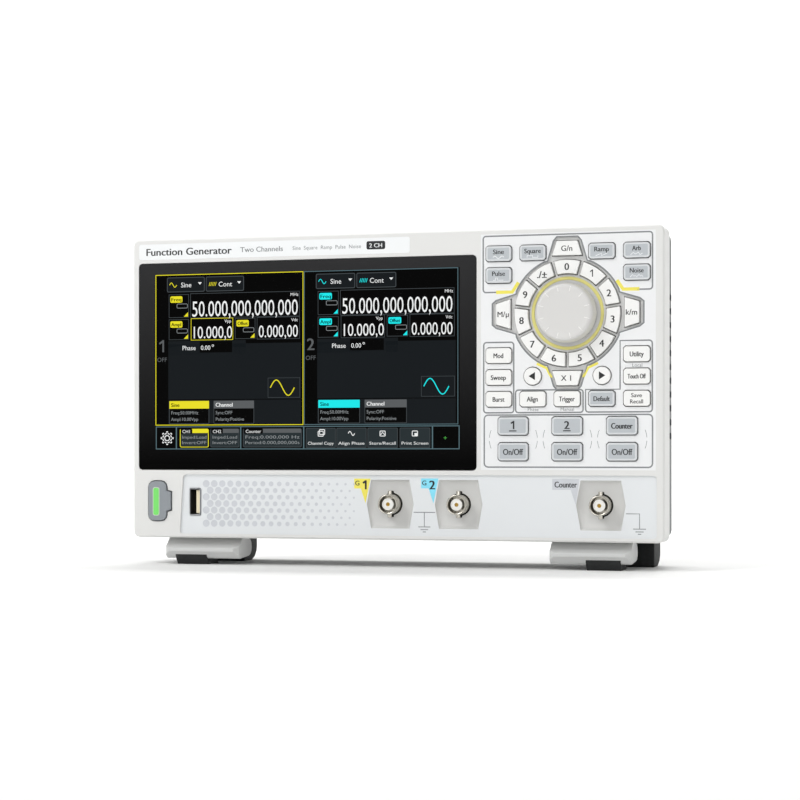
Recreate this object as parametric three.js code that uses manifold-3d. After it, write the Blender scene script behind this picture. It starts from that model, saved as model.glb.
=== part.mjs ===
// A compact two-channel bench function generator: touch screen, a ring of digit keys round a knob,
// three front coaxial jacks, a tapered rear cover and two fold-out front legs.
// Millimetres. X runs right as seen from the front, the front faces -Y and Z is up. The origin is on
// the surface that the object stands on, under the middle of its box.
import * as THREE from "three";
import { mergeVertices } from "three/addons/utils/BufferGeometryUtils.js";
import Module from "manifold-3d";

const wasm = await Module();
wasm.setup();

// ---- driving dimensions ----
const WIDTH = 265.35;
const HEIGHT = 161.75;
const DEPTH = 77.04;
const BODY_BOTTOM = 13.4; // underside of the bezel above the table
const KNOB_PROUD = 9;
const FACE_Y = -DEPTH / 2 + KNOB_PROUD; // outer face of the bezel: every depth below counts from here
const GAP = 0.3; // between touching pieces that do not move
const KEY_GAP = 0.45; // round each key in its hole

const BEZEL = { depth: 16, wall: 2.2, front: 3.2, corner: 3, edge: 0.8 };
const GLASS = { x: -43.25, z: 98.45, width: 172.5, height: 102.4, thick: 1.6, corner: 1.5 };
const WINDOW = { width: 158, height: 89, x: -42.9, z: 100.7 };
const LCD = { width: 163, height: 95, thick: 5.4 };

const KEYS = { x: 87, proud: 1.3, flange: 1.1, lip: 1, ringLip: 0.35 }; // x is the middle of the key panel
const KEY_RING = { z: 121.2, inner: 18.7, outer: 25.1, count: 11, split: 1.8 };
const UNIT_KEY = { near: 27.2, far: 34, nearHalf: 7, farHalf: 4.9 };
const RING_WELL = { radius: 26.7, depth: 0.8 };
const WELL_ARM = { root: 20, shoulder: 24.6, reach: 36.1, nearHalf: 9.5, farHalf: 5.9, cutCorner: 1.8 };
const ROUND_KEY = { x: 16.5, z: 91.7, radius: 4.15 };
const SMALL_KEY = { width: 12.2, height: 7.1, column: 32.85, midColumn: 16.4, pitch: 10.35 };
const WIDE_KEY = { width: 14.3, height: 8.35, column: 25.9, top: 68.15, pitch: 12.15 };
const TOP_ROW = 150;
const SIDE_ROW = 101.6;

const KNOB = { radius: 14.1, face: 11.6, skirt: 1.1, shaft: 3 };
const ENCODER = { side: 12.4, room: 9.3, front: 1.3, back: 7.5, bushing: 4.5, collar: 4.2 };

const PANEL = { left: -107.1, right: 129, bottom: 15.4, top: 44.8, slant: 1.9, recess: 1, block: 3.2 };
const JACK = { z: 30.75, half: 11.7, topHalf: 9.6, halfHeight: 11.75 };
// The dish round each jack: how wide it still is, as a share of its mouth, at each depth under the panel.
const JACK_DISH = [[1, 0], [0.96, 0.7], [0.88, 1.5], [0.74, 2.2], [0.54, 2.6]];
const JACK_X = { output_1: 0.3, output_2: 34.2, counter: 102.7 };
const JACK_BARREL = { radius: 4.85, bore: 4.05, tip: -4.2, floor: 4.8, hole: 5.5, body: 13.4, back: 21 };
const STUD_SLOT = { width: 2.4, height: 12.8 };
const USB = { x: -100.05, z: 31.25, width: 5.7, height: 13.1, wall: 0.35, front: 0.4, floor: 11, back: 19 };
const POWER = { x: -119.6, z: 31.6, width: 9.6, height: 19.6, tab: 2.4, tabHeight: 10, proud: 1 };

const MAIN_BOARD = { z: 18.2, thick: 1.6, width: 226, front: 13, back: 61 };
const KEY_BOARD = { left: 45.6, right: 128.8, bottom: 47.6, top: 158, front: 7.8, thick: 1.6 };
const KEY_MAT = { front: 6, thick: 1.4, inset: 0.6 };

const LEG = { inner: 77.8, outer: 116.6, ridge: 1, chamfer: 2.4 };
const PIVOT = { depth: 18.2, z: 8.4, eye: 4.4, pin: 1.7, lug: 13 };
// The rubber pad reaches back past the pivot, so the weight on it doesn't turn the leg.
const PAD = { inner: 95, outer: 111.5, front: 2.4, slope: 3.8, step: 12, back: 20, top: 5.6, backTop: 4.2 };
const REAR_FOOT = { inner: 88.5, outer: 121.5, front: 42, back: 62 };
const FAN = { x: -40, z: 92, side: 50, thick: 10, rotor: 22.5, hub: 11 };
const LAN = { x: 36, width: 16, height: 13.6, depth: 21 };
const LAN_CAVITY = { width: 11.8, height: 7, depth: 12 };
const DC_INLET = { x: -78, width: 9.4, height: 11, depth: 14, bore: 3.2, pin: 1, boreDepth: 9.5 };

// The rear cover runs straight back from the bezel, then draws in towards a smaller flat back.
const COVER = {
  front: BEZEL.depth + GAP,
  back: DEPTH - KNOB_PROUD,
  straight: 30, // depth where it begins to draw in
  sections: 9,
  halfWidth: 131.4,
  halfWidthBackLow: 121.5,
  halfWidthBackHigh: 116,
  bottom: 14.4,
  bottomBack: 15.4,
  top: 160.6,
  topBack: 147,
  corner: 4,
  cornerBack: 11,
};
const COVER_WALL = 2.4;
const VENT = { count: 11, pitch: 6.6, lowest: 62, height: 3, front: 22, back: 34 };
const GRILLE = { count: 7, pitch: 6.4, height: 3.2, rib: 1.6 };
const SCREW_WELL = { radius: 3.6, depth: 1.3, low: [108, 27], high: [101, 134] };

const CIRCLE_STEPS = 24;

// ---- materials ----
const finish = (color, roughness, metalness = 0) =>
  new THREE.MeshStandardMaterial({ color, roughness, metalness });
const MATERIALS = {
  whiteShell: finish("#dfe0e0", 0.45),
  darkShell: finish("#5f6163", 0.6),
  whiteKey: finish("#f4f4f3", 0.4),
  greyKey: finish("#c3c8cc", 0.4),
  knob: finish("#e2e1e0", 0.35),
  glass: finish("#08090a", 0.08),
  silicone: finish("#d5d7d8", 0.8),
  board: finish("#1f5a3a", 0.5),
  steel: finish("#b9bcc0", 0.35, 0.9),
  nickel: finish("#c9c6bd", 0.25, 1),
  footGrey: finish("#cdcfd0", 0.5),
  rubber: finish("#25282a", 0.85),
  blackPlastic: finish("#1b1c1e", 0.55),
  powerGrey: finish("#8d9297", 0.45),
};

// ---- outlines, as lists of [x, z] points ----
function roundedRect(x, z, width, height, radius, steps = 2) {
  const points = [];
  const corners = [[1, 1], [-1, 1], [-1, -1], [1, -1]];
  corners.forEach(([sx, sz], quarter) => {
    const cx = x + sx * (width / 2 - radius);
    const cz = z + sz * (height / 2 - radius);
    for (let i = 0; i <= steps; i++) {
      const angle = ((quarter + i / steps) * Math.PI) / 2;
      points.push([cx + radius * Math.cos(angle), cz + radius * Math.sin(angle)]);
    }
  });
  return points;
}

function circle(x, z, radius, steps = CIRCLE_STEPS) {
  return Array.from({ length: steps }, (_, i) => {
    const angle = (i / steps) * 2 * Math.PI;
    return [x + radius * Math.cos(angle), z + radius * Math.sin(angle)];
  });
}

// A piece of a ring about the knob's axis. Its straight ends stay `split` away from its neighbours' ends.
function ringSector(middle, inner, outer, split, steps = 4) {
  const pitch = (2 * Math.PI) / KEY_RING.count;
  const arc = (radius, from, to) =>
    Array.from({ length: steps + 1 }, (_, i) => {
      const angle = middle + from + ((to - from) * i) / steps;
      return [KEYS.x + radius * Math.sin(angle), KEY_RING.z + radius * Math.cos(angle)];
    });
  const half = (radius) => pitch / 2 - Math.asin(split / 2 / radius);
  return [
    ...arc(outer, -half(outer), half(outer)),
    ...arc(inner, half(inner), -half(inner)),
  ];
}

// A four-sided key on one of the four arms round the ring, its wide side to the knob, grown by `grow`.
function armKey(turn, grow) {
  const { near, far, nearHalf, farHalf } = UNIT_KEY;
  const corners = [
    [-nearHalf - grow, near - grow],
    [nearHalf + grow, near - grow],
    [farHalf + grow, far + grow],
    [-farHalf - grow, far + grow],
  ];
  const [sin, cos] = [Math.sin(turn), Math.cos(turn)];
  return corners.map(([a, r]) => [KEYS.x + a * cos + r * sin, KEY_RING.z - a * sin + r * cos]);
}

// One of the four arms of the shallow well that the ring and the arm keys stand in, corners cut off.
function wellArm(turn) {
  const { root, shoulder, reach, nearHalf, farHalf, cutCorner } = WELL_ARM;
  const corners = [
    [-nearHalf, root],
    [nearHalf, root],
    [nearHalf, shoulder],
    [farHalf + 0.6, reach - cutCorner],
    [farHalf - 1, reach],
    [-farHalf + 1, reach],
    [-farHalf - 0.6, reach - cutCorner],
    [-nearHalf, shoulder],
  ];
  const [sin, cos] = [Math.sin(turn), Math.cos(turn)];
  return corners.map(([a, r]) => [KEYS.x + a * cos + r * sin, KEY_RING.z - a * sin + r * cos]);
}

// ---- solids ----
function toSolid(geometry) {
  const bare = new THREE.BufferGeometry();
  const source = geometry.index ? geometry.toNonIndexed() : geometry;
  bare.setAttribute("position", source.getAttribute("position"));
  const merged = mergeVertices(bare, 1e-4);
  const point = (i) => new THREE.Vector3().fromBufferAttribute(merged.attributes.position, i);
  const faces = [];
  let volume = 0;
  for (let i = 0; i < merged.index.count; i += 3) {
    const [a, b, c] = [0, 1, 2].map((k) => merged.index.getX(i + k));
    if (a === b || b === c || c === a) continue;
    faces.push([a, b, c]);
    volume += point(a).dot(point(b).cross(point(c)));
  }
  const triVerts = new Uint32Array(faces.flatMap(([a, b, c]) => (volume < 0 ? [a, c, b] : [a, b, c])));
  const vertProperties = merged.attributes.position.array;
  return new wasm.Manifold(new wasm.Mesh({ numProp: 3, vertProperties, triVerts }));
}

const join = (...solids) => solids.reduce((whole, solid) => whole.add(solid));
const cut = (whole, ...tools) => tools.reduce((rest, tool) => rest.subtract(tool), whole);

// An outline carried from one depth behind the face to another.
function prism(outline, front, back) {
  const shape = new THREE.Shape(outline.map(([x, z]) => new THREE.Vector2(x, z)));
  const geometry = new THREE.ExtrudeGeometry(shape, { depth: back - front, bevelEnabled: false });
  return toSolid(geometry.rotateX(Math.PI / 2).translate(0, FACE_Y + back, 0));
}

// An outline of [depth, z] points carried along X.
function sideways(outline, left, right) {
  const shape = new THREE.Shape(outline.map(([depth, z]) => new THREE.Vector2(FACE_Y + depth, z)));
  const geometry = new THREE.ExtrudeGeometry(shape, { depth: right - left, bevelEnabled: false });
  const axes = new THREE.Matrix4().set(0, 0, 1, left, 1, 0, 0, 0, 0, 1, 0, 0, 0, 0, 0, 1);
  return toSolid(geometry.applyMatrix4(axes));
}

// A [radius, depth] profile turned about an axis along Y.
function turned(profile, x, z, steps = CIRCLE_STEPS) {
  const points = profile.map(([radius, depth]) => new THREE.Vector2(radius, depth));
  return toSolid(new THREE.LatheGeometry(points, steps).translate(x, FACE_Y, z));
}

function block(left, right, front, back, bottom, top) {
  const geometry = new THREE.BoxGeometry(right - left, back - front, top - bottom);
  geometry.translate((left + right) / 2, FACE_Y + (front + back) / 2, (bottom + top) / 2);
  return toSolid(geometry);
}

// A round bar along X.
function crossBar(radius, depth, z, left, right, steps = 16) {
  const geometry = new THREE.CylinderGeometry(radius, radius, right - left, steps);
  return toSolid(geometry.rotateZ(Math.PI / 2).translate((left + right) / 2, FACE_Y + depth, z));
}

// A closed skin through rings of [x, depth, z] points with the same number of points in each.
function loft(rings) {
  const count = rings[0].length;
  const index = [];
  for (let ring = 0; ring < rings.length - 1; ring++) {
    for (let i = 0; i < count; i++) {
      const a = ring * count + i;
      const b = ring * count + ((i + 1) % count);
      index.push(a, b, b + count, a, b + count, a + count);
    }
  }
  const last = (rings.length - 1) * count;
  for (let i = 1; i < count - 1; i++) index.push(0, i + 1, i, last, last + i, last + i + 1);
  const positions = rings.flat().flatMap(([x, depth, z]) => [x, FACE_Y + depth, z]);
  const geometry = new THREE.BufferGeometry();
  geometry.setAttribute("position", new THREE.Float32BufferAttribute(positions, 3));
  return toSolid(geometry.setIndex(index));
}

const instrument = new THREE.Group();

function addPiece(name, solid, material) {
  const { vertProperties, triVerts } = solid.getMesh();
  const geometry = new THREE.BufferGeometry();
  geometry.setAttribute("position", new THREE.BufferAttribute(vertProperties, 3));
  geometry.setIndex(new THREE.BufferAttribute(triVerts, 1));
  const mesh = new THREE.Mesh(geometry, material);
  mesh.name = name;
  instrument.add(mesh);
}

// ---- the keys: name, finish and outline as a function of how far the outline is grown ----
const smallKey = (column, z) => (grow) =>
  roundedRect(KEYS.x + column, z, SMALL_KEY.width + 2 * grow, SMALL_KEY.height + 2 * grow, 0.9 + grow / 2, 1);
const wideKey = (column, z) => (grow) =>
  roundedRect(KEYS.x + column, z, WIDE_KEY.width + 2 * grow, WIDE_KEY.height + 2 * grow, 0.9 + grow / 2, 1);

function keyList() {
  const { column, midColumn, pitch } = SMALL_KEY;
  const [grey, white] = [MATERIALS.greyKey, MATERIALS.whiteKey];
  const keys = [
    ["key_sine", grey, smallKey(-column, TOP_ROW)],
    ["key_square", grey, smallKey(-midColumn, TOP_ROW)],
    ["key_ramp", grey, smallKey(midColumn, TOP_ROW)],
    ["key_arbitrary", grey, smallKey(column, TOP_ROW)],
    ["key_pulse", grey, smallKey(-column, TOP_ROW - pitch)],
    ["key_noise", grey, smallKey(column, TOP_ROW - pitch)],
    ["key_align", white, smallKey(-midColumn, SIDE_ROW - 2 * pitch)],
    ["key_trigger", white, smallKey(0, SIDE_ROW - 2 * pitch)],
    ["key_default", grey, smallKey(midColumn, SIDE_ROW - 2 * pitch)],
  ];
  ["mod", "sweep", "burst"].forEach((name, row) =>
    keys.push([`key_${name}`, white, smallKey(-column, SIDE_ROW - row * pitch)]),
  );
  ["utility", "touch_lock", "save_recall"].forEach((name, row) =>
    keys.push([`key_${name}`, white, smallKey(column, SIDE_ROW - row * pitch)]),
  );
  ["giga_nano", "kilo_milli", "unit_x1", "mega_micro"].forEach((name, quarter) =>
    keys.push([`key_${name}`, white, (grow) => armKey((quarter * Math.PI) / 2, grow)]),
  );
  for (let i = 0; i < KEY_RING.count; i++) {
    const name = i < KEY_RING.count - 1 ? `key_digit_${i}` : "key_point_sign";
    const middle = (i * 2 * Math.PI) / KEY_RING.count;
    const outline = (grow) =>
      ringSector(middle, KEY_RING.inner - grow, KEY_RING.outer + grow, KEY_RING.split - 2 * grow);
    keys.push([name, white, outline]);
  }
  for (const [name, side] of [["left", -1], ["right", 1]]) {
    const outline = (grow) =>
      circle(KEYS.x + side * ROUND_KEY.x, ROUND_KEY.z, ROUND_KEY.radius + grow, 16);
    keys.push([`key_arrow_${name}`, white, outline]);
  }
  [["channel_1", "output_1"], ["channel_2", "output_2"], ["counter", "counter_on"]].forEach((pair, i) =>
    pair.forEach((name, row) =>
      keys.push([
        `key_${name}`,
        grey,
        wideKey((i - 1) * WIDE_KEY.column, WIDE_KEY.top - row * WIDE_KEY.pitch),
      ]),
    ),
  );
  return keys;
}

// Each key's cap stands proud of the panel, and its flange behind the panel keeps it from falling out.
function addKeys(keys) {
  const flangeFront = BEZEL.front + GAP;
  for (const [name, material, outline] of keys) {
    const spread = name.includes("digit") || name.includes("point") ? KEYS.ringLip : KEYS.lip;
    const cap = prism(outline(0), -KEYS.proud, flangeFront + 0.1);
    const flange = prism(outline(spread), flangeFront, flangeFront + KEYS.flange);
    addPiece(name, join(cap, flange), material);
  }
}

// ---- the power key: a rounded bar with a side tab, wider behind the bezel ----
function powerOutline(grow) {
  const { x, z, width, height, tab, tabHeight } = POWER;
  const bar = roundedRect(x, z, width + 2 * grow, height + 2 * grow, 3 + grow, 3);
  const right = x + width / 2 + grow;
  const tabHalf = tabHeight / 2 + grow;
  const before = bar.filter(([px, pz]) => px > x && pz < z);
  const after = bar.filter(([px, pz]) => px > x && pz > z);
  const rest = bar.filter(([px]) => px < x);
  const tabPoints = [
    [right, z - tabHalf],
    [right + tab, z - tabHalf + 0.6],
    [right + tab, z + tabHalf - 0.6],
    [right, z + tabHalf],
  ];
  return [...after, ...rest, ...before, ...tabPoints];
}

function addPowerKey() {
  const flangeFront = BEZEL.front + GAP;
  const cap = prism(powerOutline(0), -POWER.proud, flangeFront + 0.1);
  const flange = prism(powerOutline(KEYS.lip), flangeFront, flangeFront + KEYS.flange);
  addPiece("key_power", join(cap, flange), MATERIALS.powerGrey);
}

// ---- the connector panel's hexagonal dishes ----
function jackDish(x) {
  const { z, half, topHalf, halfHeight } = JACK;
  const ring = (share, depth) =>
    [
      [half, 0],
      [topHalf, halfHeight],
      [-topHalf, halfHeight],
      [-half, 0],
      [-topHalf, -halfHeight],
      [topHalf, -halfHeight],
    ].map(([across, up]) => [x + share * across, depth, z + share * up]);
  return loft([ring(1, -1), ...JACK_DISH.map(([share, depth]) => ring(share, PANEL.recess + depth))]);
}

function addBezel(keys) {
  const middleZ = (BODY_BOTTOM + HEIGHT) / 2;
  const ring = (inset, depth) =>
    roundedRect(0, middleZ, WIDTH - 2 * inset, HEIGHT - BODY_BOTTOM - 2 * inset, BEZEL.corner - inset, 3).map(
      ([x, z]) => [x, depth, z],
    );
  const outside = loft([ring(BEZEL.edge, 0), ring(0, BEZEL.edge), ring(0, BEZEL.depth)]);
  const inside = loft([ring(BEZEL.wall, BEZEL.front), ring(BEZEL.wall, BEZEL.depth + 1)]);
  const panelX = (PANEL.left + PANEL.right) / 2;
  const panelZ = (PANEL.bottom + PANEL.top) / 2;
  const panelWidth = PANEL.right - PANEL.left;
  const panelHeight = PANEL.top - PANEL.bottom;
  const panel = roundedRect(panelX, panelZ, panelWidth, panelHeight, 1.5).map(([x, z]) => {
    const lean = (PANEL.slant * (z - panelZ)) / panelHeight;
    return [x < panelX ? x + lean : x, z];
  });
  const backing = block(PANEL.left, PANEL.right, BEZEL.front - 0.2, BEZEL.front + PANEL.block, 15, PANEL.top);
  let bezel = join(cut(outside, inside), backing);
  bezel = cut(
    bezel,
    prism(panel, -1, PANEL.recess),
    prism(
      roundedRect(GLASS.x, GLASS.z, GLASS.width + 2 * GAP, GLASS.height + 2 * GAP, GLASS.corner + GAP),
      -1,
      GLASS.thick + GAP,
    ),
    prism(roundedRect(WINDOW.x, WINDOW.z, WINDOW.width, WINDOW.height, 1), -1, BEZEL.depth),
    prism(circle(KEYS.x, KEY_RING.z, ENCODER.room), -1, BEZEL.depth),
    prism(powerOutline(KEY_GAP), -1, BEZEL.depth),
    prism(roundedRect(USB.x, USB.z, USB.width + 2 * GAP, USB.height + 2 * GAP, 0.5, 1), -1, BEZEL.depth),
  );
  for (const x of Object.values(JACK_X)) {
    bezel = cut(
      bezel,
      jackDish(x),
      prism(circle(x, JACK.z, JACK_BARREL.hole), -1, BEZEL.depth),
      prism(roundedRect(x, JACK.z, STUD_SLOT.width, STUD_SLOT.height, 0.4, 1), -1, BEZEL.depth),
    );
  }
  bezel = cut(bezel, prism(circle(KEYS.x, KEY_RING.z, RING_WELL.radius, 48), -1, RING_WELL.depth));
  for (let quarter = 0; quarter < 4; quarter++) {
    bezel = cut(bezel, prism(wellArm((quarter * Math.PI) / 2), -1, RING_WELL.depth));
  }
  for (const [, , outline] of keys) bezel = cut(bezel, prism(outline(KEY_GAP), -1, BEZEL.front + 0.5));
  addPiece("front_bezel", bezel, MATERIALS.whiteShell);
}

// ---- the screen ----
function addScreen() {
  const glass = roundedRect(GLASS.x, GLASS.z, GLASS.width, GLASS.height, GLASS.corner);
  addPiece("touch_glass", prism(glass, 0, GLASS.thick), MATERIALS.glass);
  const front = BEZEL.front + GAP;
  const [left, bottom] = [WINDOW.x - LCD.width / 2, WINDOW.z - LCD.height / 2];
  const can = block(left, left + LCD.width, front, front + LCD.thick, bottom, bottom + LCD.height);
  const tail = block(-60, -30, front + 1, front + LCD.thick - 1, bottom - 3.6, bottom + 1);
  addPiece("lcd_module", join(can, tail), MATERIALS.steel);
}

// ---- the key mat, its board, the encoder and the knob ----
function addKeypadStack() {
  const { left, right, bottom, top, front, thick } = KEY_BOARD;
  const hole = prism(circle(KEYS.x, KEY_RING.z, ENCODER.room), 0, KEY_BOARD.front + KEY_BOARD.thick);
  const [matFront, inset] = [KEY_MAT.front, KEY_MAT.inset];
  const mat = block(
    left + inset,
    right - inset,
    matFront,
    matFront + KEY_MAT.thick,
    bottom + inset,
    top - inset,
  );
  addPiece("key_mat", cut(mat, hole), MATERIALS.silicone);
  addPiece("keypad_board", block(left, right, front, front + thick, bottom, top), MATERIALS.board);
}

function addEncoder() {
  const { side, front, back, bushing, collar } = ENCODER;
  const [x, z] = [KEYS.x, KEY_RING.z];
  const body = block(x - side / 2, x + side / 2, front, back, z - side / 2, z + side / 2);
  const neck = prism(circle(x, z, bushing), -2.9, front + 0.5);
  const bore = prism(circle(x, z, KNOB.shaft + GAP), -4, back - 0.6);
  const collarRoom = prism(circle(x, z, collar + GAP), front + 1, back - 1.6);
  addPiece("encoder_body", cut(join(body, neck), bore, collarRoom), MATERIALS.steel);
  const rod = prism(circle(x, z, KNOB.shaft), -7.1, back - 1.6);
  const ring = prism(circle(x, z, collar), front + 1 + GAP, front + 2.4);
  addPiece("encoder_shaft", join(rod, ring), MATERIALS.steel);
}

function addKnob() {
  const { radius, face, skirt, shaft } = KNOB;
  const profile = [
    [0, -KNOB_PROUD],
    [face, -KNOB_PROUD],
    [radius - 0.9, -KNOB_PROUD + 0.8],
    [radius, -skirt],
    [radius - 1.8, -skirt],
    [radius - 2, -6.5],
    [5, -6.5],
    [5, -4],
    [shaft + GAP, -4],
    [shaft + GAP, -7.4],
    [0, -7.4],
  ];
  addPiece("knob", turned(profile, KEYS.x, KEY_RING.z, 32), MATERIALS.knob);
}

// ---- coaxial jacks: barrel with two bayonet studs, dielectric and contact, and a square body behind ----
function addJacks() {
  const { radius, bore, tip, floor, body, back } = JACK_BARREL;
  const flangeFront = BEZEL.front + PANEL.block + GAP;
  const profile = [
    [0, tip + 1.6],
    [0.6, tip + 1.6],
    [0.6, tip + 1],
    [2.4, tip + 1],
    [2.4, floor],
    [bore, floor],
    [bore, tip + 0.3],
    [radius - 0.3, tip],
    [radius, tip + 0.3],
    [radius, flangeFront],
    [7.2, flangeFront],
    [7.2, flangeFront + 2],
    [0, flangeFront + 2],
  ];
  const bottom = MAIN_BOARD.z + MAIN_BOARD.thick + GAP;
  for (const [name, x] of Object.entries(JACK_X)) {
    let jack = turned(profile, x, JACK.z);
    for (const side of [-1, 1]) {
      const stud = new THREE.CylinderGeometry(1, 1, 1.9, 10).rotateX(Math.PI / 2);
      stud.translate(x, FACE_Y + tip + 4.4, JACK.z + side * (radius + 0.6));
      jack = join(jack, toSolid(stud));
    }
    const housing = block(x - body / 2, x + body / 2, flangeFront + 1.5, back, bottom, JACK.z + body / 2);
    addPiece(`bnc_${name}`, join(jack, housing), MATERIALS.nickel);
  }
}

// ---- the upright front USB socket ----
function addUsbSocket() {
  const { x, z, width, height, wall, front, floor, back } = USB;
  const shell = block(x - width / 2, x + width / 2, front, back, z - height / 2, z + height / 2);
  const mouth = block(
    x - width / 2 + wall,
    x + width / 2 - wall,
    front - 1,
    floor,
    z - height / 2 + wall,
    z + height / 2 - wall,
  );
  const tongue = block(x + 0.4, x + 2.2, front + 1.2, floor + 0.5, z - 5.6, z + 5.6);
  addPiece("usb_host_port", join(cut(shell, mouth), tongue), MATERIALS.steel);
}

// ---- the main board lies flat over the floor of the rear cover ----
function addMainBoard() {
  const { z, thick, width, front, back } = MAIN_BOARD;
  addPiece("main_board", block(-width / 2, width / 2, front, back, z, z + thick), MATERIALS.board);
}

// ---- the rear cover ----
// Outline of the cover at a depth: a rounded trapezium, a little narrower at the top than at the bottom.
function coverRing(depth, inset) {
  const along = Math.max(0, (depth - COVER.straight) / (COVER.back - COVER.straight));
  const drawIn = along ** 1.5;
  const blend = (from, to) => from + (to - from) * drawIn;
  const low = blend(COVER.halfWidth, COVER.halfWidthBackLow) - inset;
  const high = blend(COVER.halfWidth, COVER.halfWidthBackHigh) - inset;
  const bottom = blend(COVER.bottom, COVER.bottomBack) + inset;
  const top = blend(COVER.top, COVER.topBack) - inset;
  const corner = Math.max(blend(COVER.corner, COVER.cornerBack) - inset, 1);
  const outline = roundedRect(0, (top + bottom) / 2, 2 * low, top - bottom, corner, 4);
  return outline.map(([x, z]) => {
    const squeeze = ((low - high) * (z - bottom)) / (top - bottom);
    return [x - Math.sign(x) * squeeze, depth, z];
  });
}

function addRearCover() {
  const { front, straight, sections, back } = COVER;
  const depths = [front];
  for (let i = 0; i <= sections; i++) depths.push(straight + ((back - straight) * i) / sections);
  const outside = loft(depths.map((depth) => coverRing(depth, 0)));
  const innerDepths = [front - 1, ...depths.slice(1, -1), back - COVER_WALL];
  let cover = cut(outside, loft(innerDepths.map((depth) => coverRing(depth, COVER_WALL))));
  for (const side of [-1, 1]) {
    const legX = (side * (LEG.inner + LEG.outer)) / 2;
    const lug = sideways(
      [
        [PIVOT.depth - 1.6, 15.2],
        [PIVOT.depth - 1.6, 12.9],
        [PIVOT.depth - 3.6, 10.8],
        [PIVOT.depth - 3.6, PIVOT.z],
        [PIVOT.depth - 2.6, PIVOT.z - 2.8],
        [PIVOT.depth, PIVOT.z - 3.8],
        [PIVOT.depth + 2.6, PIVOT.z - 2.8],
        [PIVOT.depth + 3.6, PIVOT.z],
        [PIVOT.depth + 3.6, 15.2],
      ],
      legX - PIVOT.lug / 2,
      legX + PIVOT.lug / 2,
    );
    const eye = crossBar(PIVOT.pin + GAP, PIVOT.depth, PIVOT.z, legX - PIVOT.lug, legX + PIVOT.lug);
    cover = join(cover, cut(lug, eye));
    for (let i = 0; i < VENT.count; i++) {
      const z = VENT.lowest + i * VENT.pitch;
      const [left, right] = [side * 120, side * 140].sort((a, b) => a - b);
      cover = cut(cover, block(left, right, VENT.front, VENT.back, z, z + VENT.height));
    }
    for (const [x, z] of [SCREW_WELL.low, SCREW_WELL.high]) {
      const well = circle(side * x, z, SCREW_WELL.radius, 20);
      cover = cut(cover, prism(well, back - SCREW_WELL.depth, back + 1));
    }
  }
  for (let i = 0; i < GRILLE.count; i++) {
    const z = FAN.z + (i - (GRILLE.count - 1) / 2) * GRILLE.pitch;
    const reach = Math.sqrt(FAN.rotor ** 2 - (z - FAN.z) ** 2);
    const slot = [back - 6, back + 1, z - GRILLE.height / 2, z + GRILLE.height / 2];
    const [left, right] = [FAN.x - GRILLE.rib, FAN.x + GRILLE.rib];
    cover = cut(cover, block(FAN.x - reach, left, ...slot), block(right, FAN.x + reach, ...slot));
  }
  const boardTop = MAIN_BOARD.z + MAIN_BOARD.thick;
  for (const jack of [LAN, DC_INLET]) {
    const half = jack.width / 2 + GAP;
    const [bottom, top] = [boardTop, boardTop + jack.height + 2 * GAP];
    cover = cut(cover, block(jack.x - half, jack.x + half, back - 6, back + 1, bottom, top));
  }
  addPiece("rear_cover", cover, MATERIALS.darkShell);
}

// ---- rear sockets and the fan ----
function addRearParts() {
  const { back } = COVER;
  const bottom = MAIN_BOARD.z + MAIN_BOARD.thick + GAP;
  const lanZ = bottom + LAN.height / 2;
  const [lanHalf, cavityHalf] = [LAN.width / 2, LAN_CAVITY.width / 2];
  const lan = block(
    LAN.x - lanHalf,
    LAN.x + lanHalf,
    back - LAN.depth,
    back - GAP,
    bottom,
    bottom + LAN.height,
  );
  const cavity = block(
    LAN.x - cavityHalf,
    LAN.x + cavityHalf,
    back - LAN_CAVITY.depth,
    back + 1,
    lanZ - LAN_CAVITY.height / 2,
    lanZ + LAN_CAVITY.height / 2,
  );
  addPiece("lan_jack", cut(lan, cavity), MATERIALS.steel);

  const { x, width, height, depth, bore, pin, boreDepth } = DC_INLET;
  const inletZ = bottom + height / 2;
  const inlet = block(x - width / 2, x + width / 2, back - depth, back - GAP, bottom, bottom + height);
  const socket = prism(circle(x, inletZ, bore), back - boreDepth, back + 1);
  const contact = prism(circle(x, inletZ, pin, 12), back - boreDepth - 1, back - 1.5);
  addPiece("dc_inlet", join(cut(inlet, socket), contact), MATERIALS.blackPlastic);

  const fanBack = back - COVER_WALL - 0.6;
  const fanFront = fanBack - FAN.thick;
  const half = FAN.side / 2;
  const frame = block(FAN.x - half, FAN.x + half, fanFront, fanBack, FAN.z - half, FAN.z + half);
  const throat = prism(circle(FAN.x, FAN.z, FAN.rotor + 1), fanFront - 1, fanBack + 1);
  const spider = [0, 1, 2, 3].map((i) => {
    const arm = block(-FAN.rotor - 2, FAN.rotor + 2, fanFront, fanFront + 1.6, -1.2, 1.2);
    return arm.rotate([0, 45 * i, 0]).translate([FAN.x, 0, FAN.z]);
  });
  const hub = prism(circle(FAN.x, FAN.z, FAN.hub), fanFront, fanBack - 1);
  addPiece("cooling_fan", join(cut(frame, throat), hub, ...spider), MATERIALS.blackPlastic);
}

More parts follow.
